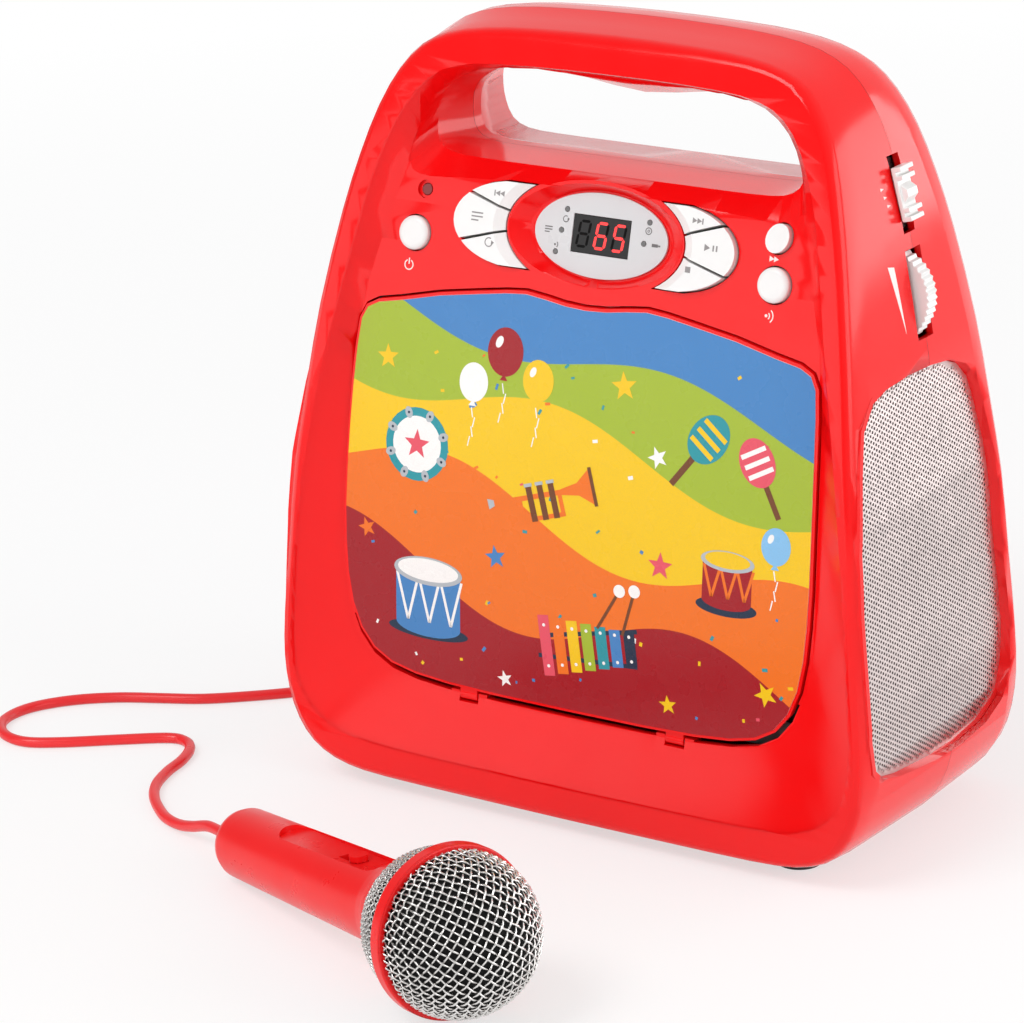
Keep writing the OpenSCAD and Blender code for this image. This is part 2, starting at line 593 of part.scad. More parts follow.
// knob with a rib at each end and a pointer in the middle
module function_knob() {
  color(white) on_side(func_z) {
    translate([0.3, -4.6, -func_len / 2]) cube([1.6, 9.2, func_len]);
    translate([-5.4, -2.6, -4]) cube([6, 5.2, 8]);
    for (z = [-func_len / 2, -func_len / 2 + 3, func_len / 2 - 1.6, func_len / 2 - 4.6])
      translate([1.8, -4.6, z]) cube([2.2, 9.2, 1.6]);
    translate([1.8, 0, 0]) rotate([90, 0, 0]) translate([0, 0, -3.6]) linear_extrude(7.2)
      polygon([[0, -3.4], [2.4, -1.2], [2.4, 1.2], [0, 3.4]]);
  }
}
module function_switch() {
  color([0.6, 0.6, 0.62]) on_side(func_z) difference() {
    translate([-13, -4.4, -12]) cube([9.4, 8.8, 24]);
    translate([-6, -2.8, -4.2 - func_travel / 2]) cube([4, 5.6, 8.4 + func_travel]);
  }
}

vol_teeth = 44;
module volume_wheel() {
  color(white) on_side(vol_z) translate([-vol_in, vol_w / 2, 0]) rotate([90, 0, 0]) difference() {
    linear_extrude(vol_w) polygon([for (i = [0:2 * vol_teeth - 1]) let (a = 180 * i / vol_teeth,
      r = vol_r - (i % 2) * 0.8) [r * cos(a), r * sin(a)]]);
    translate([0, 0, -1]) cylinder(r = shaft_r + run_clear, h = vol_w + 2, $fn = 48);
  }
}
shaft_r = 3;
module volume_control() {
  color([0.5, 0.5, 0.52]) on_side(vol_z) translate([-vol_in, 0, 0]) {
    translate([-8.5, vol_w / 2 + 0.5, -8.5]) cube([17, 7, 17]);
    translate([0, -vol_w / 2 - 0.8, 0]) rotate([-90, 0, 0]) cylinder(r = shaft_r, h = vol_w + 2, $fn = 48);
  }
}

module grille() color([0.75, 0.75, 0.76]) grille_slab(0, grille_in + grille_t, grille_in);
module grille_right() grille();
module grille_left() mirror([1, 0, 0]) grille();

// frame, cone and magnet in one turned solid, on the inner side of the baffle
module speaker() {
  color([0.15, 0.15, 0.16]) on_side(spk_z, grille_y) translate([-spk_in - 1, 0, 0]) rotate([0, -90, 0])
    rotate_extrude($fn = 96) polygon([[0, 12], [8, 10.5], [9, 12], [spk_r - 8, 3], [spk_r - 6, 0], [spk_r, 0],
      [spk_r, 2], [spk_r - 3, 2], [magnet_r - 5, magnet_z], [magnet_r, magnet_z],
      [magnet_r, magnet_z + magnet_t], [0, magnet_z + magnet_t]]);
}
magnet_r = 22;
magnet_z = 17;
magnet_t = 11;
module speaker_right() speaker();
module speaker_left() mirror([1, 0, 0]) speaker();

// ---- disc drive, in the plane of the door's middle ----
drive_z = door_z + door_h * 0.475;
well_top = -8.6;
well_floor = -14.4;
plate_w = -17.2;
post = 60;
module in_drive() on_face(0, drive_z) children();
module disc_well() {
  color([0.12, 0.12, 0.13]) difference() {
    in_drive() difference() {
      union() {
        translate([-88, -68, well_top - 1.6]) cube([176, 136, 1.6]);
        translate([0, 0, well_floor - 1.6]) cylinder(r = well_r + 1.6, h = well_top - well_floor, $fn = 120);
        for (s = [-1, 1]) for (v = [-post, post]) translate([s * 84, v, well_top - eps])
          cylinder(r = 3, h = -well_top - wall - 0.3 - post * post / (2 * (front_r - recess_d)), $fn = 32);
        for (s = [-1, 1]) for (v = [-30, 20]) translate([s * 36, v, plate_w]) cylinder(r = 3, h = well_floor - plate_w, $fn = 32);
      }
      translate([0, 0, well_floor]) cylinder(r = well_r, h = 20, $fn = 120);
      translate([0, 0, well_floor - 5]) cylinder(r = 15, h = 20, $fn = 64);
      translate([-9, sled_v - 8.5 - sled_travel, well_floor - 5]) cube([18, 19 + sled_travel, 10]);
    }
    // notch for the door catch
    translate([-8, -body_front, door_top - 7.4]) cube([16, body_front, 20]);
  }
}
module drive_plate() {
  color(steel) in_drive() difference() {
    union() {
      translate([-42, rail_v, plate_w - 1.5]) cube([84, 26 - rail_v, 1.5]);
      for (s = [-1, 1]) for (v = [rail_v, -16]) translate([s * rod_x - 3, v, rod_w - 3]) cube([6, 3, plate_w - 1.5 - rod_w + 3 + eps]);
    }
    translate([-12, sled_v - 9 - sled_travel, plate_w - 5]) cube([24, 18 + sled_travel, 10]);
    translate([0, 0, plate_w - 5]) cylinder(r = 4, h = 10, $fn = 48);
    translate([pin_x, pin_v, plate_w - 5]) cylinder(r = pin_gear + 1.2, h = 10, $fn = 48);
    for (s = [-1, 1]) translate([s * rod_x, rail_v - 1, rod_w]) rotate([-90, 0, 0]) cylinder(r = rod_r, h = 80, $fn = 48);
  }
}
sled_v = -27;
rail_v = sled_v - 8 - sled_travel - 4;
rod_x = 16;
rod_w = plate_w - 6;
rod_r = 1.5;
pin_gear = 4;
pin_x = 27.2;
pin_v = -30;
module guide_rods() color(steel) in_drive() for (s = [-1, 1]) translate([s * rod_x, rail_v, rod_w])
  rotate([-90, 0, 0]) cylinder(r = rod_r, h = -13 - rail_v, $fn = 48);
// sled at its innermost place, with the lens and a toothed rack
module laser_sled() {
  color([0.2, 0.2, 0.22]) in_drive() difference() {
    union() {
      translate([-20, sled_v - 8, rod_w - 3.5]) cube([40, 16, 7]);
      translate([-8, sled_v - 8, rod_w]) cube([16, 16, 7.4]);
      translate([0, sled_v + 2, rod_w + 7.4 - eps]) cylinder(r = 3.4, h = 1.6, $fn = 48);
      translate([20 - eps, pin_v - 3, rod_w - 1]) cube([2, sled_travel + 6, 3]);
      for (i = [0:floor((sled_travel + 4) / 3.14)]) translate([22 - 2 * eps, pin_v - 2.4 + i * 3.14, rod_w - 1]) cube([0.8, 1.2, 3]);
    }
    for (s = [-1, 1]) translate([s * rod_x, sled_v - 10, rod_w]) rotate([-90, 0, 0])
      cylinder(r = rod_r + run_clear, h = 20, $fn = 48);
  }
}
module sled_pinion() {
  color(white) in_drive() translate([pin_x, pin_v, rod_w - 1]) difference() {
    linear_extrude(3) polygon([for (i = [0:31]) let (a = 360 * i / 32, r = pin_gear - (i % 4 > 1 ? 0.7 : 0))
      [r * cos(a), r * sin(a)]]);
    translate([0, 0, -1]) cylinder(r = 1 + run_clear, h = 5, $fn = 32);
  }
}
module sled_motor() {
  color([0.6, 0.6, 0.62]) in_drive() translate([pin_x, pin_v, 0]) {
    translate([0, 0, rod_w - 16]) cylinder(r = 10, h = 12, $fn = 64);
    translate([0, 0, rod_w - 4.2]) cylinder(r = 1, h = 7, $fn = 32);
    for (s = [-1, 1]) translate([3, s * 7.6, rod_w - 4 - eps]) cylinder(r = 1.6, h = plate_w - 1.5 - rod_w + 4 + eps, $fn = 32);
  }
}
module spindle_motor() {
  color([0.6, 0.6, 0.62]) in_drive() {
    translate([0, 0, plate_w - 1.5 - 11]) cylinder(r = 12, h = 11, $fn = 64);
    translate([0, 0, plate_w - 2]) cylinder(r = 1, h = 8.6, $fn = 32);
  }
}
module turntable() {
  color(dark) in_drive() difference() {
    union() {
      translate([0, 0, -13.4]) cylinder(r = 13.5, h = 2, $fn = 72);
      translate([0, 0, -11.5]) cylinder(r = 7.4, h = 3.3, $fn = 72);
    }
    translate([0, 0, -14]) cylinder(r = 1 + run_clear, h = 5.5, $fn = 32);
  }
}

module main_board() {
  color([0.1, 0.35, 0.15]) {
    translate([-52, board_y, board_z - 38]) cube([104, 1.6, 76]);
    translate([-30, board_y - 6, board_z - 10]) cube([24, 6 + eps, 18]);
    for (i = [0:2]) translate([12 + i * 12, board_y + eps, board_z + 14]) rotate([90, 0, 0]) cylinder(r = 4.5, h = 12, $fn = 32);
  }
}

bay_d = 30;
module battery_box() {
  y1 = back_y(bat_z) - 3.2;
  color(dark) difference() {
    translate([-bat_w / 2 + 2, y1 - bay_d, bat_z + 2]) cube([bat_w - 4, bay_d, bat_h - 4]);
    translate([-bat_w / 2 + 3.8, y1 - bay_d + 1.8, bat_z + 3.8]) cube([bat_w - 7.6, bay_d + 2, bat_h - 7.6]);
  }
  color(dark) for (s = [-1, 1]) translate([s * (bat_w / 2 + 1) - 3, y1 - 3 - 1.2, bat_z + 10]) cube([6, 3, bat_h - 20]);
}
module battery_door() {
  color(red) intersection() {
    translate([-bat_w / 2, 30, bat_z]) cube([bat_w, 60, bat_h]);
    difference() {
      within_back(0);
      within_back(2);
    }
  }
}
module battery_contacts() {
  y1 = back_y(bat_z) - 3.2 - bay_d / 2 + 1;
  color(steel) for (s = [-1, 1]) for (z = [bat_z + bat_h * 0.28, bat_z + bat_h * 0.72]) {
    translate([s * (bat_w / 2 - 4.1) - 0.3, y1 - 8, z - 8]) cube([0.6, 16, 16]);
    translate([s * (bat_w / 2 - 6.4) - 2.1, y1, z]) rotate([0, 90, 0]) cylinder(r = 4, h = 4.2, $fn = 32);
  }
}

module mic_socket() {
  y1 = back_y(sock_z);
  color(dark) translate([sock_x, 0, sock_z]) rotate([-90, 0, 0]) difference() {
    union() {
      translate([0, 0, y1 - 20]) cylinder(r = sock_r, h = 21.5, $fn = 48);
      translate([0, 0, y1 + 0.25]) cylinder(r = sock_r + 1.6, h = 1.25, $fn = 48);
    }
    translate([0, 0, y1 - 18]) cylinder(r = jack_r + run_clear, h = 30, $fn = 48);
  }
}
jack_r = 3.15;
module power_inlet() {
  y1 = back_y(sock_z);
  color(dark) translate([-sock_x, 0, sock_z]) rotate([-90, 0, 0]) difference() {
    translate([0, 0, y1 - 12]) cylinder(r = inlet_r, h = 12.2, $fn = 48);
    translate([0, 0, y1 - 9]) cylinder(r = 2.9, h = 30, $fn = 48);
  }
  color(steel) translate([-sock_x, y1 - 9.2, sock_z]) rotate([-90, 0, 0]) cylinder(r = 1, h = 8, $fn = 32);
}
module usb_socket() {
  y1 = back_y(usb_z);
  color(steel) translate([-sock_x - usb_w / 2, y1 - 14, usb_z - usb_h / 2]) difference() {
    cube([usb_w, 13.6, usb_h]);
    translate([0.6, 2, 0.6]) cube([usb_w - 1.2, 20, usb_h - 1.2]);
  }
  color(white) translate([-sock_x - 5.5, y1 - 12.5, usb_z]) cube([11, 10, 1.8]);
}

module case_screws() {
  color(steel) for (p = screw_p) translate([p[0], 0, p[1]]) rotate([-90, 0, 0]) {
    translate([0, 0, seam_y - 14]) cylinder(r = screw_r, h = screw_y - seam_y + 14, $fn = 32);
    translate([0, 0, screw_y]) cylinder(r = screw_head_r, h = 2.2, $fn = 48);
  }
}
module rubber_feet() {
  color(dark) for (s = [-1, 1]) for (y = foot_y) translate([s * foot_x, y, 0]) cylinder(r = foot_r, h = foot_h + 1.7, $fn = 64);
}

// ---- microphone, lying on the table: local +X runs from the head's middle to the tail ----
mic_x = 46.4;
mic_y = -195;
mic_yaw = 155.8;
mic_head_r = mic_r + 1.2;
ring_x = 3.6;
rest_x = ring_x + ring_w / 2 - 0.6;
mic_tilt = atan((mic_head_r - grip_r2) / (mic_len - 4 - rest_x));
mic_z = rest_x * sin(mic_tilt) + mic_head_r * cos(mic_tilt);
module on_mic() translate([mic_x, mic_y, mic_z]) rotate([0, 0, mic_yaw]) rotate([0, mic_tilt, 0]) children();
neck_x = 27;
module turn_x(p) rotate([0, 90, 0]) rotate_extrude($fn = 96) polygon(p);
slot_x = 71;
slot_len = 52.8;
slot_r = 6.6;
knob_x = slot_x - 12.7;
mic_travel = 6;
flat_r = 10.9;
module mic_handle() {
  color(red) on_mic() difference() {
    turn_x([[0, neck_x], [17.5, neck_x], [18, neck_x + 0.8], [17.2, neck_x + 3], [grip_r1 + 1, neck_x + 7.5],
      [grip_r1, neck_x + 13], [grip_r2, mic_len - 4], [grip_r2 - 0.9, mic_len - 1.2], [grip_r2 - 3.4, mic_len],
      [0, mic_len]]);
    // flat recess for the switch
    translate([slot_x - slot_len / 2, 0, flat_r]) linear_extrude(10) {
      translate([slot_len, 0]) circle(r = slot_r, $fn = 48);
      circle(r = slot_r, $fn = 48);
      translate([0, -slot_r]) square([slot_len, 2 * slot_r]);
    }
    translate([knob_x - 3, -2.4, flat_r - 3]) cube([6 + mic_travel, 4.8, 10]);
    translate([mic_len - 9, 0, 0]) rotate([0, 90, 0]) cylinder(r = cord_d / 2 + 0.9, h = 20, $fn = 32);
  }
}
module mic_switch_knob() {
  color(red) on_mic() {
    translate([knob_x - 2.5, -2.1, flat_r - 2.6]) cube([5, 4.2, 3]);
    translate([knob_x, 0, flat_r + 0.25]) cylinder(r = 3.2, h = 2, $fn = 48);
  }
}
module mic_ring() {
  color(red) on_mic() difference() {
    turn_x([[mic_r - 1.2, ring_x - ring_w / 2], [mic_head_r - 0.4, ring_x - ring_w / 2], [mic_head_r, ring_x - ring_w / 2 + 0.6],
      [mic_head_r, ring_x + ring_w / 2 - 0.6], [mic_head_r - 0.4, ring_x + ring_w / 2], [mic_r - 1.2, ring_x + ring_w / 2]]);
  }
}
// hollow mesh head: ball in front of the ring, cone behind it
module mic_mesh() {
  r = mic_r;
  a = ring_x - ring_w / 2;
  b = ring_x + ring_w / 2;
  color([0.78, 0.78, 0.79]) on_mic() {
    rotate([0, 90, 0]) rotate_extrude($fn = 96) polygon(concat(
      [for (i = [0:15]) let (t = asin(-a / r) + 1 + (89 - asin(-a / r)) * i / 15) [r * cos(t), -r * sin(t)]],
      [for (i = [15:-1:0]) let (t = asin(-a / r) + 1 + (89 - asin(-a / r)) * i / 15) [(r - 1.2) * cos(t), -(r - 1.2) * sin(t)]]));
    turn_x([[r - 0.6, b], [r - 1, b + 5], [r - 2.2, b + 10], [r - 4.2, b + 15], [17.4, neck_x], [16, neck_x],
      [r - 5.6, b + 15], [r - 3.6, b + 10], [r - 2.4, b + 5], [r - 2.2, b]]);
    turn_x([[r - 2.2, a], [r - 1.2, a], [r - 1.2, b], [r - 2.2, b]]);
  }
}
module mic_capsule() {
  color(dark) on_mic() {
    translate([-4, 0, 0]) rotate([0, 90, 0]) cylinder(r = 9, h = 12, $fn = 48);
    translate([8 - eps, 0, 0]) rotate([0, 90, 0]) cylinder(r = 5, h = neck_x - 8 + eps, $fn = 48);
  }
}

// ---- cord: from the microphone over the table, round behind the case, coil, plug ----
tail = [mic_x, mic_y, mic_z] + [cos(mic_yaw) * cos(mic_tilt), sin(mic_yaw) * cos(mic_tilt), -sin(mic_tilt)] * (mic_len - 8.5);
tail_dir = [cos(mic_yaw) * cos(mic_tilt), sin(mic_yaw) * cos(mic_tilt), -sin(mic_tilt)];
lay = cord_d / 2;
jack_x = sock_x;
plug_len = 34;
plug_end = [jack_x, back_y(sock_z) + 1.5 + plug_len, sock_z];
route = [[-110.5, -125, 5.2], [-118, -122.2, 3], [-125.5, -119, 2.1], [-132, -115, 2], [-142, -106, 2], [-149, -96, 2],
  [-153, -84, 2], [-155, -72, 2], [-159, -62, 2], [-165, -57, 2], [-173, -58, 2], [-190, -70, 2],
  [-205, -81, 2], [-217, -87, 2], [-228, -85, 2], [-236, -77, 2], [-238, -67, 2], [-235, -56, 2],
  [-226, -44, 2], [-213, -34, 2], [-199, -27, 2], [-185, -20, 2], [-172, -10, 2], [-158, 3, 2],
  [-147, 17, 2], [-139, 33, 2], [-132, 50, 2], [-120, 66, 2], [-104, 75, 2], [-84, 75, 2], [-66, 75, 2]];
up_route = [[-56, 133, 6.6], [-67, 132.6, 9], [-76, 131, 18], [-80, 126.6, 31], [-80, 120.6, 45], [-79, 112.8, 56]];
coil_c = [-46, 104, 0];
coil_r = 23;
coil_step = 5.2;
coil_rise = 4.7;
coil_in = 3;
coil_n = 24;
function unit(v) = v / norm(v);
function cr3(a, b, c, d, t) =
  0.5 * (2 * b + (c - a) * t + (2 * a - 5 * b + 4 * c - d) * t * t + (3 * b - a - 3 * c + d) * t * t * t);
function fine(q, n) = let (m = len(q) - 1) concat([for (i = [0:m - 1]) for (j = [0:n - 1])
  cr3(i == 0 ? 2 * q[0] - q[1] : q[i - 1], q[i], q[i + 1], i == m - 1 ? 2 * q[m] - q[m - 1] : q[i + 2], j / n)],
  [q[m]]);
// spiral in over coil_in turns, climb in half a turn, spiral out over as many turns
function coil_at(u) = let (r1 = coil_r - coil_step * coil_in / 2, r2 = coil_r + coil_step * coil_in / 2,
  r = u < coil_in ? r2 - coil_step * u : u < coil_in + 0.5 ? r1 : r1 + coil_step * (u - coil_in - 0.5),
  k = u < coil_in ? 0 : u < coil_in + 0.5 ? (u - coil_in) * 2 : 1, a = -90 + 360 * u)
  coil_c + [r * cos(a), r * sin(a), lay + coil_rise * k * k * (3 - 2 * k)];
coil_u = 2 * coil_in + 0.5;
coil_pts = let (q = [for (i = [0:coil_u * coil_n]) coil_at(i / coil_n)], e = len(q) - 1)
  concat([q[0] - [cord_d, 0, 0]], q, [q[e] - [cord_d, 0, 0]]);
run_a = concat(fine(concat([for (d = [0, 11, 22, 33]) tail + tail_dir * d], route, [coil_pts[0] - [6, 0, 0]]), 2),
  [coil_pts[0]]);
run_b = concat([coil_pts[len(coil_pts) - 1]], fine(concat([coil_pts[len(coil_pts) - 1] - [5, 0, 0]], up_route,
  [plug_end + [0, 6, 0]]), 2), [plug_end]);
function rings_of(q, n, r) = let (m = len(q) - 1) [for (i = [0:m])
  let (t = unit(i == 0 ? q[1] - q[0] : i == m ? q[m] - q[m - 1] : q[i + 1] - q[i - 1]),
    s = unit(cross(t, [0, 0, 1])), v = cross(s, t))
  [for (k = [0:n - 1]) let (a = 360 * (k + 0.5) / n) q[i] + r * (cos(a) * s + sin(a) * v)]];
module sweep(rs) {
  n = len(rs[0]);
  k = len(rs);
  polyhedron(points = [for (r = rs) each r], faces = concat([[for (i = [n - 1:-1:0]) i]],
    [[for (i = [0:n - 1]) (k - 1) * n + i]],
    [for (j = [0:k - 2]) for (i = [0:n - 1]) [j * n + i, j * n + (i + 1) % n, (j + 1) * n + (i + 1) % n]],
    [for (j = [0:k - 2]) for (i = [0:n - 1]) [j * n + i, (j + 1) * n + (i + 1) % n, (j + 1) * n + i]]));
}
function path_len(q) = len(q) < 2 ? 0 : [for (i = [0:len(q) - 2]) norm(q[i + 1] - q[i])] * [for (i = [0:len(q) - 2]) 1];
coil_gap = min([for (i = [0:len(coil_pts) - 1]) for (j = [i + 12:len(coil_pts) - 1]) norm(coil_pts[i] - coil_pts[j])]) - cord_d;
echo("least gap of the coil to itself", coil_gap, "cord length",
  path_len(run_a) + path_len(coil_pts) + path_len(run_b), "rings", len(run_a) + len(run_b), len(coil_pts));

module mic_cord() {
  color(red) {
    sweep(rings_of(run_a, 8, cord_d / 2));
    sweep(rings_of(run_b, 8, cord_d / 2));
  }
}
module mic_cord_coil() color(red) sweep(rings_of(coil_pts, 6, cord_d / 2));
module mic_plug() {
  y1 = back_y(sock_z) + 1.5;
  translate([jack_x, y1, sock_z]) rotate([-90, 0, 0]) {
    color(steel) translate([0, 0, -19]) cylinder(r = jack_r, h = 19.2, $fn = 48);
    color(dark) rotate_extrude($fn = 48) polygon([[0, 0], [6, 0], [6, 20], [5, 23], [3.4, 24], [3, plug_len], [0, plug_len]]);
  }
}

front_shell();
rear_shell();
cd_door();
door_print();
door_hinge_pins();
door_catch();
display_bezel();
display_block();
indicator_lights();
power_light();
key_power();
key_previous();
key_programme();
key_repeat();
key_next();
key_play();
key_stop();
key_skip();
key_pairing();
control_board();
function_knob();
function_switch();
volume_wheel();
volume_control();
grille_right();
grille_left();
speaker_right();
speaker_left();
disc_well();
drive_plate();
turntable();
spindle_motor();
laser_sled();
guide_rods();
sled_pinion();
sled_motor();
main_board();
battery_box();
battery_door();
battery_contacts();
mic_socket();
power_inlet();
usb_socket();
case_screws();
rubber_feet();
mic_handle();
mic_switch_knob();
mic_ring();
mic_mesh();
mic_capsule();
mic_cord();
mic_cord_coil();
mic_plug();
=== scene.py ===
"""Looks of the karaoke machine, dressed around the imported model. Metres, in the same frame as the CAD."""
import json
import math
import random
import bpy
import bmesh
from mathutils import Matrix, Vector
from mathutils.bvhtree import BVHTree


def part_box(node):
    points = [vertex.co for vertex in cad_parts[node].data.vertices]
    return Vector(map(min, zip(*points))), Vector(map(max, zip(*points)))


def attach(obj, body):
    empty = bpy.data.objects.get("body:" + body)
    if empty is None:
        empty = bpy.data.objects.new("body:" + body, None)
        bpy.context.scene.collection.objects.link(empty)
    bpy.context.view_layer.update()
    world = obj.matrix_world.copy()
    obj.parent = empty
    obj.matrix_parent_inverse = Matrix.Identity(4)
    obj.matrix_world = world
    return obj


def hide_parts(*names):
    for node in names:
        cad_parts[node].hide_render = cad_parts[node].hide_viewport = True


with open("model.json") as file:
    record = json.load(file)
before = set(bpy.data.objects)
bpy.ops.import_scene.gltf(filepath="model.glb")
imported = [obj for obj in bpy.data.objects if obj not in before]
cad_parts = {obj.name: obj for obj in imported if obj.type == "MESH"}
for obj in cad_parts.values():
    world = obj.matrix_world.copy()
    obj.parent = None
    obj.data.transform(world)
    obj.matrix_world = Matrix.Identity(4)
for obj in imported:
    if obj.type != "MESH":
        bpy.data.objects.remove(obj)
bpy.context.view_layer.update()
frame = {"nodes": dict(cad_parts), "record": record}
nodes = frame["nodes"]
scene = bpy.context.scene
MM = 0.001
body_of = {n: b for b, names in frame["record"]["behaviour"]["bodies"].items() for n in names}


# ---- camera, at the photograph's viewing angle ----
IMAGE_W, FOCAL_PX = 1024, 4013.0
CAM_AT = (0.68598, -1.15258, 0.56861)
CAM_RIGHT = (0.84424, 0.53552, -0.02163)
CAM_UP = (-0.15449, 0.2818, 0.94695)
CAM_BACK = (0.51321, -0.79612, 0.32064)
CAM_SHIFT = (0.00522, -0.02916)
cam = bpy.data.objects.new("camera", bpy.data.cameras.new("camera"))
scene.collection.objects.link(cam)
cam_turn = Matrix((CAM_RIGHT, CAM_UP, CAM_BACK)).transposed().to_4x4()
cam.matrix_world = Matrix.Translation(CAM_AT) @ cam_turn
cam.data.sensor_width = 36.0
cam.data.lens = FOCAL_PX / IMAGE_W * cam.data.sensor_width
cam.data.shift_x, cam.data.shift_y = CAM_SHIFT
cam.data.clip_start = 0.02
scene.camera = cam


# ---- building helpers ----
SAME = 2e-6     # corners closer than this are one


def mesh_object(name, verts, faces, mats, index=None):
    """A new mesh with one material or a list of them; index says which one each face has."""
    me = bpy.data.meshes.new(name)
    me.from_pydata([tuple(v) for v in verts], [], faces)
    for m in mats if isinstance(mats, (list, tuple)) else [mats]:
        me.materials.append(m)
    if index:
        me.polygons.foreach_set("material_index", index)
    me.update()
    o = bpy.data.objects.new(name, me)
    scene.collection.objects.link(o)
    return o


def smooth(o, angle=35):
    """Smooth shading, with a sharp edge where the faces turn by more than this angle."""
    o.data.shade_smooth()
    o.data.set_sharp_from_angle(angle=math.radians(angle))
    return o


def place(o, body):
    """The piece rides a body."""
    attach(o, body)
    return o


def welded(name):
    """The CAD node's mesh with its corners joined and its flat triangles merged."""
    bm = bmesh.new()
    bm.from_mesh(nodes[name].data)
    bmesh.ops.remove_doubles(bm, verts=bm.verts, dist=SAME)
    bmesh.ops.dissolve_limit(bm, angle_limit=math.radians(0.1), verts=bm.verts, edges=bm.edges)
    return bm


def skin(name, mat, bevel=0.0, segments=2, angle=30, shape=None):
    """A welded, softened copy of a CAD node that stands for it. Shape is a function that edits its mesh."""
    bm = welded(name)
    if shape:
        shape(bm)
    me = bpy.data.meshes.new(name + "_skin")
    bm.to_mesh(me)
    bm.free()
    me.materials.append(mat)
    o = bpy.data.objects.new(name + "_skin", me)
    scene.collection.objects.link(o)
    smooth(o, angle)
    if bevel:
        b = o.modifiers.new("edges", "BEVEL")
        b.width = bevel
        b.segments = segments
        b.limit_method = "ANGLE"
        b.angle_limit = math.radians(angle)
        b.harden_normals = True
    w = o.modifiers.new("normals", "WEIGHTED_NORMAL")
    w.keep_sharp = True
    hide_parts(name)
    return place(o, body_of[name])


def merge(parts):
    """Joins (verts, faces) lists into one."""
    verts, faces = [], []
    for v, f in parts:
        n = len(verts)
        verts += v
        faces += [tuple(i + n for i in q) for q in f]
    return verts, faces


def tube(points, radius, sides):
    """(verts, faces) of a round open tube along points; its rings turn with the least twist."""
    pts = [Vector(p) for p in points]
    verts, faces = [], []
    side = None
    for i, p in enumerate(pts):
        t = (pts[min(i + 1, len(pts) - 1)] - pts[max(i - 1, 0)]).normalized()
        if side is None:
            side = t.orthogonal().normalized()
        side = (side - t * side.dot(t)).normalized()
        other = t.cross(side)
        for k in range(sides):
            a = 2 * math.pi * k / sides
            verts.append(p + (side * math.cos(a) + other * math.sin(a)) * radius)
    for i in range(len(pts) - 1):
        for k in range(sides):
            a, b = i * sides + k, i * sides + (k + 1) % sides
            faces.append((a, b, b + sides, a + sides))
    return verts, faces


def shoelace(points):
    """Twice the area of an outline in two dimensions: above 0 if it runs anticlockwise."""
    return sum(p[0] * q[1] - q[0] * p[1] for p, q in zip(points, points[1:] + points[:1]))


def new_face(points, first):
    """The face of an outline whose corners are numbered from first on, wound anticlockwise."""
    ids = tuple(range(first, first + len(points)))
    return ids if shoelace(points) > 0 else ids[::-1]


# ---- materials ----
class Shade:
    """One node material. Values that are the same all over go on the shader's own sockets."""

    def __init__(self, name, color=(0.8, 0.8, 0.8), rough=0.4, **sockets):
        self.mat = bpy.data.materials.new(name)
        self.mat.use_nodes = True
        self.tree = self.mat.node_tree
        self.bsdf = self.tree.nodes["Principled BSDF"]
        self.bsdf.inputs["Base Color"].default_value = (*color, 1)
        self.bsdf.inputs["Roughness"].default_value = rough
        for key, value in sockets.items():
            self.bsdf.inputs[key.replace("_", " ")].default_value = value
        self.color = color
        self.coord = self.node("ShaderNodeTexCoord").outputs["Object"]

    def node(self, kind, **settings):
        n = self.tree.nodes.new(kind)
        for key, value in settings.items():
            setattr(n, key, value)
        return n

    def link(self, a, b):
        self.tree.links.new(a, b)
        return b

    def noise(self, scale, detail, stretch=(1, 1, 1)):
        m = self.node("ShaderNodeMapping")
        m.inputs["Scale"].default_value = stretch
        self.link(self.coord, m.inputs["Vector"])
        n = self.node("ShaderNodeTexNoise")
        n.inputs["Scale"].default_value = scale
        n.inputs["Detail"].default_value = detail
        self.link(m.outputs[0], n.inputs["Vector"])
        return n.outputs["Fac"]

    def math(self, kind, a, b):
        n = self.node("ShaderNodeMath", operation=kind)
        self.link(a, n.inputs[0])
        self.link(b, n.inputs[1])
        return n.outputs[0]

    def remap(self, fac, lo, hi, fro=0.3, to=0.7):
        """Fac from fro to to becomes lo to hi, and is clamped there."""
        n = self.node("ShaderNodeMapRange")
        self.link(fac, n.inputs[0])
        for i, v in enumerate((fro, to, lo, hi)):
            n.inputs[i + 1].default_value = v
        return n.outputs[0]

    def tint(self, fac, other):
        """The base colour goes from its own to other by fac."""
        n = self.node("ShaderNodeMix", data_type="RGBA")
        self.link(fac, n.inputs[0])
        n.inputs[6].default_value = (*self.color, 1)
        n.inputs[7].default_value = (*other, 1)
        self.link(n.outputs[2], self.bsdf.inputs["Base Color"])
        return self

    def roughness(self, fac, lo, hi):
        self.link(self.remap(fac, lo, hi), self.bsdf.inputs["Roughness"])
        return self

    def bump(self, fac, depth, strength):
        n = self.node("ShaderNodeBump")
        n.inputs["Strength"].default_value = strength
        n.inputs["Distance"].default_value = depth
        self.link(fac, n.inputs["Height"])
        self.link(n.outputs[0], self.bsdf.inputs["Normal"])
        return self


PLASTIC_SHADE, METAL_SHADE = 0.95, 0.88     # the darkest share of the colour in its slow drift
PLASTIC_BLOTCH, METAL_BLOTCH = 14, 25       # noise scale of that drift
GLOSS_BLOTCH = 60
SCRATCH_DEPTH = 0.00001


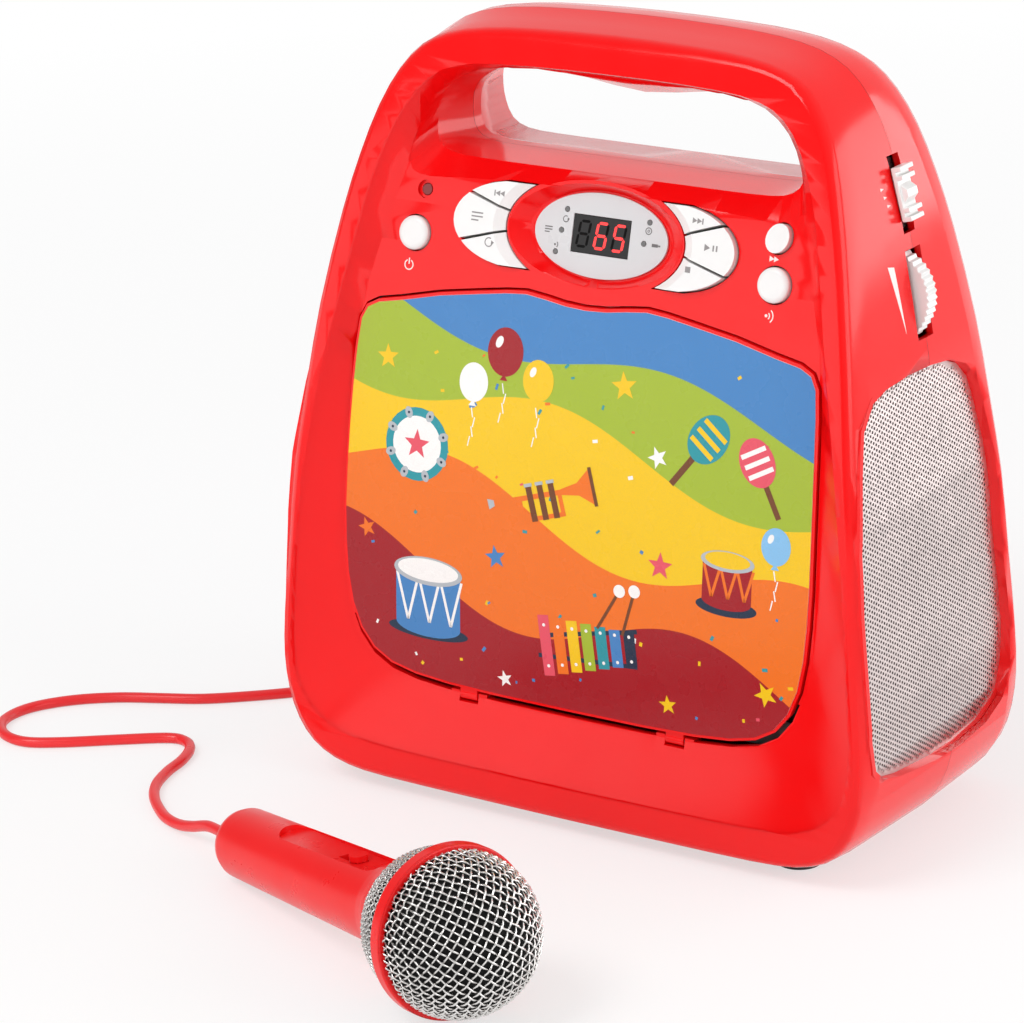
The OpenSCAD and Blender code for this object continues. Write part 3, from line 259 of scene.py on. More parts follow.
def plastic(name, color, rough, grain=0.00002, scale=900.0, **sockets):
    """Moulded plastic: colour and gloss drift a little, over a fine grain this deep and this dense."""
    s = Shade(name, color, rough, **sockets)
    s.tint(s.remap(s.noise(PLASTIC_BLOTCH, 4), 0, 1), tuple(c * PLASTIC_SHADE for c in color))
    s.roughness(s.noise(GLOSS_BLOTCH, 5), rough * 0.85, rough * 1.2)
    s.bump(s.noise(scale, 2), grain, 0.25)
    return s.mat


def metal(name, color, rough, stretch=(1, 1, 1), scale=400.0):
    """Bare metal with fine scratches. Stretch packs them closer along an axis."""
    s = Shade(name, color, rough, Metallic=1.0)
    s.tint(s.remap(s.noise(METAL_BLOTCH, 4), 0, 1), tuple(c * METAL_SHADE for c in color))
    s.roughness(s.noise(scale, 4, stretch), rough * 0.7, rough * 1.3)
    s.bump(s.noise(scale * 2, 3, stretch), SCRATCH_DEPTH, 0.3)
    return s.mat


red = plastic("red_gloss_plastic", (0.84, 0.004, 0.005), 0.15, grain=0.000012, scale=700,
              Specular_IOR_Level=0.3)
# darker red for the seam's bevel faces: painted shade in the joint's groove
seam_shade_red = plastic("painted_shade_in_seam", (0.20, 0.002, 0.003), 0.5)
red_dull = plastic("red_satin_plastic", (0.80, 0.006, 0.007), 0.3, Specular_IOR_Level=0.35)
cord_red = plastic("red_cord_sheath", (0.80, 0.016, 0.02), 0.32, grain=0.00004, scale=1200)
white = plastic("white_key_plastic", (0.80, 0.79, 0.78), 0.22)
grey = plastic("grey_bezel_plastic", (0.60, 0.60, 0.61), 0.32)
black = plastic("black_plastic", (0.02, 0.02, 0.021), 0.38, grain=0.00005)
window = plastic("display_window", (0.014, 0.0135, 0.014), 0.1, Specular_IOR_Level=0.25)
off_segment = plastic("unlit_segment", (0.0015, 0.001, 0.001), 0.3, Specular_IOR_Level=0.1)
lens = plastic("dark_red_lens", (0.20, 0.003, 0.004), 0.08)
dot_lens = plastic("indicator_lens", (0.13, 0.13, 0.13), 0.2)
cloth = plastic("grille_cloth", (0.018, 0.009, 0.009), 0.9, grain=0.0002, scale=2500)
dark = plastic("speaker_cone", (0.03, 0.03, 0.032), 0.6, grain=0.00008, scale=500)
board = plastic("circuit_board", (0.015, 0.14, 0.04), 0.35)
rubber = plastic("foot_rubber", (0.03, 0.03, 0.03), 0.75, grain=0.00008, scale=1500)
foam = plastic("mic_foam", (0.006, 0.006, 0.006), 0.95, grain=0.0004, scale=1800)
mark = plastic("printed_mark", (0.27, 0.25, 0.25), 0.4)
mark_dark = plastic("printed_mark_dark", (0.14, 0.13, 0.13), 0.4)
mark_light = plastic("printed_mark_light", (0.93, 0.75, 0.73), 0.4)
steel = metal("pressed_steel", (0.58, 0.58, 0.59), 0.32, (1, 1, 14))
# grey metal whose pink tint is a painted reflection of the red surroundings
reflection_tinted_sheet = metal("grille_metal", (0.76, 0.655, 0.64), 0.34)
wire = metal("mesh_wire", (0.82, 0.80, 0.78), 0.26, scale=900)


def glow(name, color, strength):
    """A lit lamp face."""
    s = Shade(name, color, 0.4)
    s.bsdf.inputs["Emission Color"].default_value = (*color, 1)
    s.link(s.remap(s.noise(700, 2), strength * 0.8, strength), s.bsdf.inputs["Emission Strength"])
    return s.mat


lit = glow("lit_segment", (1.0, 0.03, 0.03), 1.1)

# ---- places on the case, as in the solids ----
FRONT_R, BODY_FRONT, FRONT_Z = 660.0, 58.8, 46.0     # the front's curve, and how far out and up it peaks
BACK_R, BODY_BACK, BACK_Z = 820.0, 63.4, 38.0        # the same for the back
RECESS, DISH = 8.0, 4.9                              # depth of the panel, and of the display's dish in it
KEYS_Z, ROUND_Z, SKIP_Z = 210.5, 203.1, 218.1
POWER_X, RIGHT_X = -71.9, 70.6
SEAM_Y = 5.0
HEAD_R, MIC_LEN = 27.4, 138.4                        # the microphone's ball, and its middle to the tail
MIC_X, MIC_Y, MIC_YAW = 46.4, -195, 155.8
RING_R, RING_REST = HEAD_R + 1.2, 5.7                # it rests on the ring's edge and on the tail's
TAIL_R, TAIL_ROUND = 12.4, 4
SCALE = Matrix.Scale(MM, 4)


def face_y(z, depth):
    """Y of the curved front at height z, depth behind the rim's own curve."""
    r = FRONT_R - depth
    return FRONT_R - BODY_FRONT - math.sqrt(r * r - (z - FRONT_Z) ** 2)


def back_y(z):
    """Y of the curved back at height z."""
    return BODY_BACK - BACK_R + math.sqrt(BACK_R ** 2 - (z - BACK_Z) ** 2)


def on_face(x, z, depth=RECESS):
    """Panel frame in millimetres: X right, Y up along the panel, Z outward."""
    th = math.asin((z - FRONT_Z) / (FRONT_R - depth))
    place_at = Matrix.Translation((x, face_y(z, depth), z))
    return SCALE @ place_at @ Matrix.Rotation(math.pi / 2 - th, 4, "X")


def on_mic():
    """Microphone frame in millimetres: X from the head's middle to the tail."""
    tilt = math.atan((RING_R - TAIL_R) / (MIC_LEN - TAIL_ROUND - RING_REST))
    z = RING_REST * math.sin(tilt) + RING_R * math.cos(tilt)
    turn = Matrix.Rotation(math.radians(MIC_YAW), 4, "Z") @ Matrix.Rotation(tilt, 4, "Y")
    return SCALE @ Matrix.Translation((MIC_X, MIC_Y, z)) @ turn


# ---- cord: straight out of the tail, over the table, round behind the case, coil, plug ----
ROUTE = [(-110.5, -125, 5.2), (-118, -122.2, 3), (-125.5, -119, 2.1), (-132, -115, 2), (-142, -106, 2),
         (-149, -96, 2), (-153, -84, 2), (-155, -72, 2), (-159, -62, 2), (-165, -57, 2), (-173, -58, 2),
         (-190, -70, 2), (-205, -81, 2), (-217, -87, 2), (-228, -85, 2), (-236, -77, 2), (-238, -67, 2),
         (-235, -56, 2), (-226, -44, 2), (-213, -34, 2), (-199, -27, 2), (-185, -20, 2), (-172, -10, 2),
         (-158, 3, 2), (-147, 17, 2), (-139, 33, 2), (-132, 50, 2), (-120, 66, 2), (-104, 75, 2),
         (-84, 75, 2), (-66, 75, 2)]
CLIMB = [(-56, 133, 6.6), (-67, 132.6, 9), (-76, 131, 18), (-80, 126.6, 31), (-80, 120.6, 45),
         (-79, 112.8, 56)]
CORD_D = 4.0
ROOT_IN = 8.5                       # the cord starts this far inside the tail
STUB = (0, 11, 22, 33)              # and runs straight out to these distances
COIL_C, COIL_R = (-46, 104), 23
COIL_STEP, COIL_RISE = 5.2, 4.7     # from turn to turn, and from the lower layer to the upper
COIL_IN, COIL_N = 3, 24             # turns in a layer, and points in a turn
SPAN_N = 6                          # points in a span of the free runs
SOCKET = (-78.0, 62.0)              # x and z of the microphone socket
PLUG_LEN, PLUG_SEAT = 34.0, 1.5


def flowing(q, n):
    """Catmull-Rom points through q, n to a span."""
    q = [Vector(p) for p in q]
    q = [2 * q[0] - q[1]] + q + [2 * q[-1] - q[-2]]
    out = []
    for a, b, c, d in zip(q, q[1:], q[2:], q[3:]):
        for j in range(n):
            t = j / n
            out.append(0.5 * (2 * b + (c - a) * t + (2 * a - 5 * b + 4 * c - d) * t * t
                              + (3 * b - a - 3 * c + d) * t ** 3))
    return out + [q[-2]]


def coil_at(u):
    """Point u turns along the coil: inward in the lower layer, up, and outward in the upper one."""
    inner, outer = COIL_R - COIL_STEP * COIL_IN / 2, COIL_R + COIL_STEP * COIL_IN / 2
    if u < COIL_IN:
        r, k = outer - COIL_STEP * u, 0
    elif u < COIL_IN + 0.5:
        r, k = inner, (u - COIL_IN) * 2
    else:
        r, k = inner + COIL_STEP * (u - COIL_IN - 0.5), 1
    a = math.radians(-90 + 360 * u)
    return Vector((COIL_C[0] + r * math.cos(a), COIL_C[1] + r * math.sin(a),
                   CORD_D / 2 + COIL_RISE * k * k * (3 - 2 * k)))


def cord_path():
    """Every point of the cord from inside the tail to the plug, in metres."""
    mic = on_mic()
    tail = mic @ Vector((MIC_LEN - ROOT_IN, 0, 0)) / MM
    out = (mic @ Vector((1, 0, 0)) - mic @ Vector((0, 0, 0))).normalized()
    coil = [coil_at(i / COIL_N) for i in range(int((2 * COIL_IN + 0.5) * COIL_N) + 1)]
    back = Vector((CORD_D, 0, 0))
    coil = [coil[0] - back] + coil + [coil[-1] - back]
    end = Vector((SOCKET[0], back_y(SOCKET[1]) + PLUG_SEAT + PLUG_LEN, SOCKET[1]))
    run_a = flowing([tail + out * d for d in STUB] + ROUTE + [coil[0] - Vector((6, 0, 0))], SPAN_N)
    run_b = flowing([coil[-1] - Vector((5, 0, 0))] + CLIMB + [end + Vector((0, 6, 0))], SPAN_N)
    return [p * MM for p in run_a + coil + run_b + [end]]


path = cord_path()
cord_curve = bpy.data.curves.new("mic_cord_line", "CURVE")
cord_curve.dimensions = "3D"
cord_curve.bevel_depth = CORD_D / 2 * MM
cord_curve.bevel_resolution = 3
cord_curve.use_fill_caps = True
line = cord_curve.splines.new("POLY")
line.points.add(len(path) - 1)
for point, p in zip(line.points, path):
    point.co = (*p, 1)
cord_curve.materials.append(cord_red)
cord = bpy.data.objects.new("mic_cord_line", cord_curve)
scene.collection.objects.link(cord)
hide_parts("mic_cord", "mic_cord_coil")
place(cord, "case")


# ---- moulded pieces ----
def round_shading(o, frame_m, least_r, end_x):
    """True normals for a turned piece about the frame's X axis, so that a cut in it leaves fewer marks.
    Its round faces lie beyond least_r or past end_x; all others keep their flat normals."""
    o.modifiers.clear()
    me, inv = o.data, frame_m.inverted()
    turn = frame_m.to_3x3().normalized()
    spots = [inv @ v.co for v in me.vertices]
    slopes, rounded = {}, set()
    for f in me.polygons:
        n, c = turn.transposed() @ f.normal, inv @ f.center
        radius = math.hypot(c.y, c.z)
        outward = (n.y * c.y + n.z * c.z) / max(radius, 1e-6)
        across = abs(n.z * c.y - n.y * c.z) / max(radius, 1e-6)
        if outward > 0.3 and across < 0.12 and (radius > least_r or c.x > end_x):
            rounded.add(f.index)
            for v in f.vertices:
                row = slopes.setdefault(round(spots[v].x, 2), [0.0, 0.0])
                row[0] += n.x * f.area
                row[1] += f.area
    normals = []
    for f in me.polygons:
        for v in f.vertices:
            if f.index in rounded:
                p = spots[v]
                total, area = slopes[round(p.x, 2)]
                nx = total / area
                side = math.sqrt(1 - nx * nx) / math.hypot(p.y, p.z)
                normals.append(turn @ Vector((nx, p.y * side, p.z * side)))
            else:
                normals.append(f.normal.copy())
    me.shade_smooth()
    me.normals_split_custom_set(normals)
    return o


SEAM_HALF = 0.24 * MM


def seam_edge(bm):
    """Breaks the edge where the two halves of the case meet, which leaves the fine groove of the joint.
    Its faces get the second material, a darker red that paints the shade in the groove."""
    bm.normal_update()

    def on_rim(e):
        return (len(e.link_faces) == 2 and all(abs(v.co.y - SEAM_Y * MM) < SAME for v in e.verts)
                and sum(1 for f in e.link_faces if abs(f.normal.y) > 0.99) == 1
                and e.calc_face_angle() > 0.6)

    bmesh.ops.bevel(bm, geom=[e for e in bm.edges if on_rim(e)], offset=SEAM_HALF, segments=1,
                    profile=0.5, affect="EDGES", clamp_overlap=True, material=1)


skin("cd_door", red, 0.25 * MM)
# the seam's bevel faces of both shells take the darker red, painted shade in the groove
for n in ("front_shell", "rear_shell"):
    skin(n, red, shape=seam_edge).data.materials.append(seam_shade_red)
skin("battery_door", red, 0.4 * MM)
for n in nodes:
    if n.startswith("key_"):
        skin(n, white, 0.55 * MM, 4)
skin("function_knob", white, 0.3 * MM)
skin("volume_wheel", white, 0.2 * MM)
skin("display_bezel", grey, 0.3 * MM, 3)
skin("display_block", window, 0.15 * MM)
skin("indicator_lights", dot_lens, 0.2 * MM)
skin("power_light", lens, 0.3 * MM, 3)
round_shading(skin("mic_handle", red_dull, angle=40), on_mic(), TAIL_R - 0.3, MIC_LEN - TAIL_ROUND - 0.1)
skin("mic_ring", red_dull, 0.5 * MM, 3)
skin("mic_switch_knob", red_dull, 0.4 * MM, 3)
skin("case_screws", steel, 0.2 * MM)
skin("rubber_feet", rubber, 0.4 * MM)
skin("mic_socket", black, 0.3 * MM)
skin("power_inlet", black, 0.2 * MM)
skin("usb_socket", steel, 0.1 * MM)
plug = skin("mic_plug", black, 0.3 * MM)
skin("disc_well", black, 0.3 * MM)
skin("turntable", black, 0.3 * MM)
# seen through gaps, at an edge or with a door open: their CAD meshes stay and get their material here
INNER = {"door_hinge_pins": steel, "door_catch": white, "control_board": board, "function_switch": steel,
         "volume_control": steel, "speaker_right": dark, "speaker_left": dark, "drive_plate": steel,
         "spindle_motor": steel, "laser_sled": black, "guide_rods": steel, "sled_pinion": white,
         "sled_motor": steel, "main_board": board, "battery_box": black, "battery_contacts": steel,
         "mic_capsule": foam, "door_print": mark_light}
for n, m in INNER.items():
    nodes[n].data.materials.clear()
    nodes[n].data.materials.append(m)


# ---- perforated speaker grilles ----
PITCH = 1.85 * MM
HOLE_R = 0.60 * MM
SHEET_T = 0.4 * MM
EDGE_BAND = 0.8 * MM                # no hole comes nearer to the outline
BAND_IN = EDGE_BAND + 1.8 * MM      # the solid edge reaches this far in, under the outermost holes
CLOTH_IN, CLOTH_ROWS = 0.75 * MM, 24


def outer_loop(name, sign):
    """The outline of a grille's outer face, in order, and the grille's surface for ray casts."""
    bm = welded(name)
    bm.normal_update()
    faces = [f for f in bm.faces if f.normal.x * sign > 0.5]
    chosen = set(faces)
    edges = {e for f in faces for e in f.edges if sum(1 for g in e.link_faces if g in chosen) == 1}
    start = min(edges, key=lambda e: (e.verts[0].co.z, e.verts[0].co.y))
    first, v = start.verts
    loop, used = [first.co.copy()], {start}
    while v is not first:
        loop.append(v.co.copy())
        e = next(x for x in v.link_edges if x in edges and x not in used)
        used.add(e)
        v = e.other_vert(v)
    tree = BVHTree.FromBMesh(bm)
    bm.free()
    return loop, tree


def inset_loop(loop, d):
    """Moves a closed loop d inward in its (y, z) plane, keeping each point's x."""
    turn_way = 1 if shoelace([(p.y, p.z) for p in loop]) > 0 else -1
    out = []
    for i, p in enumerate(loop):
        t = loop[(i + 1) % len(loop)] - loop[i - 1]
        n = Vector((0, -t.z, t.y)).normalized() * turn_way
        out.append(p + n * d)
    return out


def inside(loop, y, z):
    """Whether (y, z) lies in the loop."""
    hit = False
    for a, b in zip(loop, loop[1:] + loop[:1]):
        if (a.z > z) != (b.z > z) and y < a.y + (z - a.z) * (b.y - a.y) / (b.z - a.z):
            hit = not hit
    return hit


def grille(name, sign):
    """A punched sheet laid on the CAD grille, its solid edge and the dark cloth behind it."""
    loop, tree = outer_loop(name, sign)
    core = inset_loop(loop, EDGE_BAND)
    ray = Vector((-sign, 0, 0))
    lo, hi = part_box(name)
    verts, faces, key = [], [], {}

    def x_at(y, z):
        hit = tree.ray_cast(Vector((sign * 0.2, y, z)), ray)[0]
        return hit.x if hit else None

    def corner(i, j, y, z):
        """The number of the corner at (y, z), shared by the cells that meet in it."""
        k = (i, j)
        if k not in key:
            x = x_at(y, z)
            if x is None:
                return None
            key[k] = len(verts)
            verts.append(Vector((x, y, z)))
        return key[k]

    # neighbours lie above, below and at 30 degrees either side; cell corners point along Y
    step_y, side = PITCH * math.sqrt(3) / 2, PITCH / math.sqrt(3)
    for col in range(int((hi.y - lo.y) / step_y) + 2):
        cy = lo.y + col * step_y
        for row in range(int((hi.z - lo.z) / PITCH) + 2):
            cz = lo.z + (row + 0.5 * (col % 2)) * PITCH
            ring = [(cy + side * math.cos(math.radians(60 * k)), cz + side * math.sin(math.radians(60 * k)))
                    for k in range(6)]
            if not all(inside(core, y, z) for y, z in ring):
                continue
            outer = [corner(round((y - lo.y) / side * 4), round((z - lo.z) / PITCH * 4), y, z)
                     for y, z in ring]
            x = x_at(cy, cz)
            if x is None or None in outer:
                continue
            n = len(verts)
            for depth in (0, SHEET_T):
                for a in (math.radians(60 * k) for k in range(6)):
                    y, z = cy + HOLE_R * math.cos(a), cz + HOLE_R * math.sin(a)
                    verts.append(Vector((x - sign * depth, y, z)))
            for k in range(6):
                m = (k + 1) % 6
                q = (outer[k], outer[m], n + m, n + k)
                w = (n + k, n + m, n + 6 + m, n + 6 + k)
                faces += [q, w] if sign > 0 else [q[::-1], w[::-1]]
    sheet = mesh_object(name + "_sheet", verts, faces, reflection_tinted_sheet)
    smooth(sheet, 40)
    # solid edge round the holes, with its folded side
    band, n = [], len(loop)
    wide = inset_loop(loop, BAND_IN)
    for ring, drop in ((loop, 0.5 * MM), (inset_loop(loop, 0.12 * MM), 0.05 * MM), (wide, 0.05 * MM)):
        band += [p - Vector((sign * drop, 0, 0)) for p in ring]
    quads = [(r * n + i, r * n + (i + 1) % n, (r + 1) * n + (i + 1) % n, (r + 1) * n + i)
             for r in (0, 1) for i in range(n)]
    edge = smooth(mesh_object(name + "_edge", band, quads, reflection_tinted_sheet), 50)
    back = inset_loop(loop, 0.1 * MM)
    low, high = min(p.z for p in back), max(p.z for p in back)
    # the dark cloth behind the holes follows the sheet in level strips
    cv, cf = [], []
    for r in range(CLOTH_ROWS + 1):
        z = low + (high - low) * (0.002 + 0.996 * r / CLOTH_ROWS)
        ys = sorted(a.y + (z - a.z) * (b.y - a.y) / (b.z - a.z) for a, b in zip(back, back[1:] + back[:1])
                    if (a.z > z) != (b.z > z))
        x = (x_at((ys[0] + ys[-1]) / 2, z) or verts[0].x) - sign * CLOTH_IN
        cv += [Vector((x, ys[0], z)), Vector((x, ys[-1], z))]
        if r:
            cf.append((2 * r - 2, 2 * r - 1, 2 * r + 1, 2 * r))
    lining = mesh_object(name + "_cloth", cv, cf, cloth)
    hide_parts(name)
    for o in (sheet, edge, lining):
        place(o, "case")


grille("grille_right", 1)
grille("grille_left", -1)


# ---- woven head of the microphone ----
WIRE_R, WIRE_SIDES = 0.38, 5
WEAVE = 2.85                        # from wire to wire, and half a wave along one
WEAVE_TURN = math.radians(38)
WEAVE_STEPS = 4                     # points in half a wave
LINER_IN = 1.9                      # the foam lies this far inside the head's skin
BALL_END, BALL_STEP = 102, 3        # the ball's arc from the pole, in degrees
HEAD_BACK = [(11.3, 26.4), (16.3, 25.2), (21.3, 23.2), (27.0, 17.4)]     # x and radius behind the ball


def head_profile():
    """(length along the skin, x, radius) from the pole over the ball and down its back to the neck."""
    turns = [math.radians(a) for a in range(0, BALL_END + 1, BALL_STEP)]
    points = [(-HEAD_R * math.cos(a), HEAD_R * math.sin(a)) for a in turns] + HEAD_BACK
    rows, run = [], 0.0
    for i, p in enumerate(points):
        run += math.dist(p, points[i - 1]) if i else 0.0
        rows.append((run, *p))
    return rows


PROFILE = head_profile()


def head_at(rho, inside_by, rise):
    """Point of the skin at rho along it, sunk by inside_by and moved out by rise."""
    for (s0, x0, r0), (s1, x1, r1) in zip(PROFILE, PROFILE[1:]):
        if rho <= s1:
            t = (rho - s0) / (s1 - s0)
            out = Vector((r0 - r1, x1 - x0)).normalized() * (rise - inside_by)
            return x0 + t * (x1 - x0) + out.x, max(0.0, r0 + t * (r1 - r0) + out.y)
    return PROFILE[-1][1], PROFILE[-1][2] + rise - inside_by


def woven_head():
    """Two families of waved wires, over and under each other, wrapped from the pole down to the neck."""
    mic = on_mic()
    sunk = 2 * WIRE_R + 0.05
    limit = PROFILE[-1][0] - 0.5
    parts = []
    half = int(limit / WEAVE) + 1
    for family in (0, 1):
        for i in range(-half, half + 1):
            u = (i + 0.5) * WEAVE
            if abs(u) > limit - 1:
                continue
            span = math.sqrt(limit * limit - u * u)
            line_points = []
            steps = int(2 * span / WEAVE * WEAVE_STEPS)
            for j in range(steps + 1):
                v = -span + 2 * span * j / steps
                a, b = (u, v) if family == 0 else (v, u)
                rho = math.hypot(a, b)
                over = 1 if (i + family) % 2 else -1
                rise = WIRE_R * math.cos(math.pi * (v / WEAVE - 0.5)) * over
                x, radius = head_at(min(rho, limit), sunk, rise)
                th = math.atan2(b, a) + WEAVE_TURN
                line_points.append((x, radius * math.cos(th), radius * math.sin(th)))
            if len(line_points) > 3:
                parts.append(tube(line_points, WIRE_R, WIRE_SIDES))
    verts, faces = merge(parts)
    o = mesh_object("mic_mesh_wires", [mic @ Vector(v) for v in verts], faces, wire)
    o.data.shade_smooth()
    return o


def turned(name, profile, frame_m, mat, sides=64):
    """A lathe piece about the frame's X axis; profile is (radius, x) pairs."""
    verts, faces = [], []
    for rad, x in profile:
        for k in range(sides):
            a = 2 * math.pi * k / sides
            verts.append(frame_m @ Vector((x, rad * math.cos(a), rad * math.sin(a))))
    for i in range(len(profile) - 1):
        for k in range(sides):
            m = (k + 1) % sides
            faces.append((i * sides + k, i * sides + m, (i + 1) * sides + m, (i + 1) * sides + k))
    return smooth(mesh_object(name, verts, faces, mat), 40)


wires = place(woven_head(), "case")
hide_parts("mic_mesh")
liner = [head_at(s, LINER_IN, 0.0)[::-1] for s, _, _ in PROFILE]
place(turned("mic_foam_liner", liner, on_mic(), foam), "case")


# ---- printed picture on the door: curved colour bands, instruments and confetti of its own design ----
PRINT_DEPTH = 6.7
INK = {"blue": (0.055, 0.21, 0.49), "green": (0.34, 0.45, 0.03), "yellow": (0.82, 0.52, 0.008),
       "orange": (0.80, 0.16, 0.012), "dark_red": (0.33, 0.006, 0.012), "navy": (0.012, 0.028, 0.06),
       "white": (0.85, 0.84, 0.82), "teal": (0.02, 0.28, 0.33), "pink": (0.72, 0.08, 0.12),
       "silver": (0.42, 0.45, 0.48), "brown": (0.16, 0.05, 0.015), "sky": (0.22, 0.48, 0.75)}


def ink(name, color):
    """Printing ink with a fine speckle."""
    s = Shade("ink_" + name, color, 0.28, Specular_IOR_Level=0.3)
    s.tint(s.remap(s.noise(2600, 2), 0, 1, 0.42, 0.62), tuple(min(1, c * 0.93 + 0.012) for c in color))
    s.roughness(s.noise(90, 3), 0.24, 0.32)
    return s.mat


inks = {n: ink(n, c) for n, c in INK.items()}
ink_order = list(inks)


def print_outline():
    """The edges of the print's outline in the door's (x, z) plane, in millimetres."""
    bm = welded("door_print")
    bm.normal_update()
    faces = [f for f in bm.faces if f.normal.y < -0.5]
    chosen = set(faces)
    edges = [e for f in faces for e in f.edges if sum(1 for g in e.link_faces if g in chosen) == 1]
    out = [((a.co.x / MM, a.co.z / MM), (b.co.x / MM, b.co.z / MM)) for a, b in (e.verts for e in edges)]
    bm.free()
    return out


outline = print_outline()
PRINT_W = max(abs(p[0]) for e in outline for p in e)


def span_at(x):
    """Lowest and highest z of the print at x."""
    zs = []
    for (x0, z0), (x1, z1) in outline:
        if min(x0, x1) <= x <= max(x0, x1) and x0 != x1:
            zs.append(z0 + (x - x0) * (z1 - z0) / (x1 - x0))
    return min(zs), max(zs)


def turned_points(points, cx, cy, turn):
    """An outline turned by so many degrees about its own origin, which goes to (cx, cy)."""
    c, s = math.cos(math.radians(turn)), math.sin(math.radians(turn))
    return [(cx + x * c - y * s, cy + x * s + y * c) for x, y in points]


def bar(x, y, w, h):
    return [(x - w / 2, y - h / 2), (x + w / 2, y - h / 2), (x + w / 2, y + h / 2), (x - w / 2, y + h / 2)]


def arrow(x, y, s, way=1):
    return [(x - way * s * 0.5, y - s * 0.55), (x + way * s * 0.5, y), (x - way * s * 0.5, y + s * 0.55)]


def disc(x, y, r, n):
    turns = [2 * math.pi * k / n for k in range(n)]
    return [(x + r * math.cos(a), y + r * math.sin(a)) for a in turns]


def hoop(x, y, r, w, fro=0, to=360, n=24):
    """A ring or an arc of n quads, with the outer radius r and the width w."""
    out = []
    for i in range(n):
        a, b = (math.radians(fro + (to - fro) * (i + k) / n) for k in (0, 1))
        quad = ((r - w, a), (r, a), (r, b), (r - w, b))
        out.append([(x + q * math.cos(t), y + q * math.sin(t)) for q, t in quad])
    return out


class Picture:
    """Collects flat shapes in (x, z) millimetres and bends them onto the door's curved face."""
    STRIP = 9.0      # height of a level strip
    LIFT = 0.018     # from layer to layer

    def __init__(self):
        self.verts, self.faces, self.index = [], [], []

    def add(self, points, color, layer):
        """points: a convex outline, which is cut into level strips so that it follows the curve."""
        lo, hi = min(p[1] for p in points), max(p[1] for p in points)
        inner = range(int(lo // self.STRIP) + 1, int(hi // self.STRIP) + 1)
        cuts = [lo] + [k * self.STRIP for k in inner] + [hi]
        for a, b in zip(cuts, cuts[1:]):
            part = self.clip(self.clip(points, a, 1), b, -1)
            if len(part) < 3:
                continue
            depth = PRINT_DEPTH - self.LIFT * layer
            self.faces.append(new_face(part, len(self.verts)))
            self.verts += [Vector((x, face_y(z, depth), z)) * MM for x, z in part]
            self.index.append(ink_order.index(color))

    @staticmethod
    def clip(points, level, way):
        """What lies above the level, or below it if way is -1."""
        out = []
        for p, q in zip(points, points[1:] + points[:1]):
            a, b = (p[1] - level) * way, (q[1] - level) * way
            if a >= 0:
                out.append(p)
            if a * b < 0:
                t = a / (a - b)
                out.append((p[0] + t * (q[0] - p[0]), level))
        return out

    def rect(self, cx, cz, w, h, color, layer, turn=0.0):
        self.add(turned_points(bar(0, 0, w, h), cx, cz, turn), color, layer)

    def oval(self, cx, cz, a, b, color, layer, turn=0.0):
        arc = [math.radians(10 * i) for i in range(36)]
        self.add(turned_points([(a * math.cos(t), b * math.sin(t)) for t in arc], cx, cz, turn), color, layer)

    def star(self, cx, cz, r, color, layer, turn=0.0):
        """A star of five kites."""
        w, inner = math.pi / 5, r * 0.42
        for k in range(5):
            a = math.radians(90 + turn + 360 * k / 5)
            self.add([(cx, cz), (cx + inner * math.cos(a - w), cz + inner * math.sin(a - w)),
                      (cx + r * math.cos(a), cz + r * math.sin(a)),
                      (cx + inner * math.cos(a + w), cz + inner * math.sin(a + w))], color, layer)

    def ring(self, cx, cz, r, width, color, layer):
        for quad in hoop(cx, cz, r, width, n=30):
            self.add(quad, color, layer)


BANDS = ("dark_red", "orange", "yellow", "green", "blue")
BAND_EDGES = (168, 143, 111, 78)    # heights at the middle of the door, from the top
BAND_FALL, BAND_WAVE = 0.16, 23


def wave(k, x):
    """Height of the k-th edge between colours: the bands fall to the right in long waves."""
    return BAND_EDGES[k] - BAND_FALL * x + (7 + 1.5 * k) * math.sin(x / BAND_WAVE + 1.9 * k)


picture = Picture()
# the bands are cut at the outline's own corners and every 2 mm between
columns = sorted({-PRINT_W + 0.02, PRINT_W - 0.02} | {x for e in outline for x in (e[0][0], e[1][0])
                                                       if abs(x) < PRINT_W - 0.02}
                 | {-PRINT_W + 0.6 + k * 2.0 for k in range(int(PRINT_W))})
columns = [x for x, y in zip(columns, columns[1:] + [1e9]) if y - x > 0.004]
for x0, x1 in zip(columns, columns[1:]):
    (l0, h0), (l1, h1) = span_at(x0), span_at(x1)
    edge0 = [l0] + [min(max(wave(k, x0), l0), h0) for k in (3, 2, 1, 0)] + [h0]
    edge1 = [l1] + [min(max(wave(k, x1), l1), h1) for k in (3, 2, 1, 0)] + [h1]
    for k, color in enumerate(BANDS):
        quad = [(x0, edge0[k]), (x1, edge1[k]), (x1, edge1[k + 1]), (x0, edge0[k + 1])]
        if max(edge0[k + 1] - edge0[k], edge1[k + 1] - edge1[k]) > 0.01:
            picture.add(quad, color, 1)


# the instruments: p is the picture, (cx, cz) the place
def drum(p, cx, cz, w, h, skin_ink, body_ink, cord_ink):
    p.oval(cx, cz - 2, w * 0.62, 3.2, "navy", 2)
    p.add([(cx - w / 2, cz), (cx + w / 2, cz), (cx + w / 2, cz + h), (cx - w / 2, cz + h)], body_ink, 3)
    p.oval(cx, cz, w / 2, w * 0.16, body_ink, 3)
    for k in range(6):
        a, b = cx - w / 2 + w * k / 6, cx - w / 2 + w * (k + 1) / 6
        z0, z1 = (cz + 1, cz + h - 2) if k % 2 else (cz + h - 2, cz + 1)
        p.add([(a, z0), (a + 1.1, z0), (b + 1.1, z1), (b, z1)], cord_ink, 4)
    p.oval(cx, cz + h, w / 2 + 0.8, w * 0.19, "silver", 5)
    p.oval(cx, cz + h + 0.4, w / 2 - 0.8, w * 0.15, skin_ink, 6)


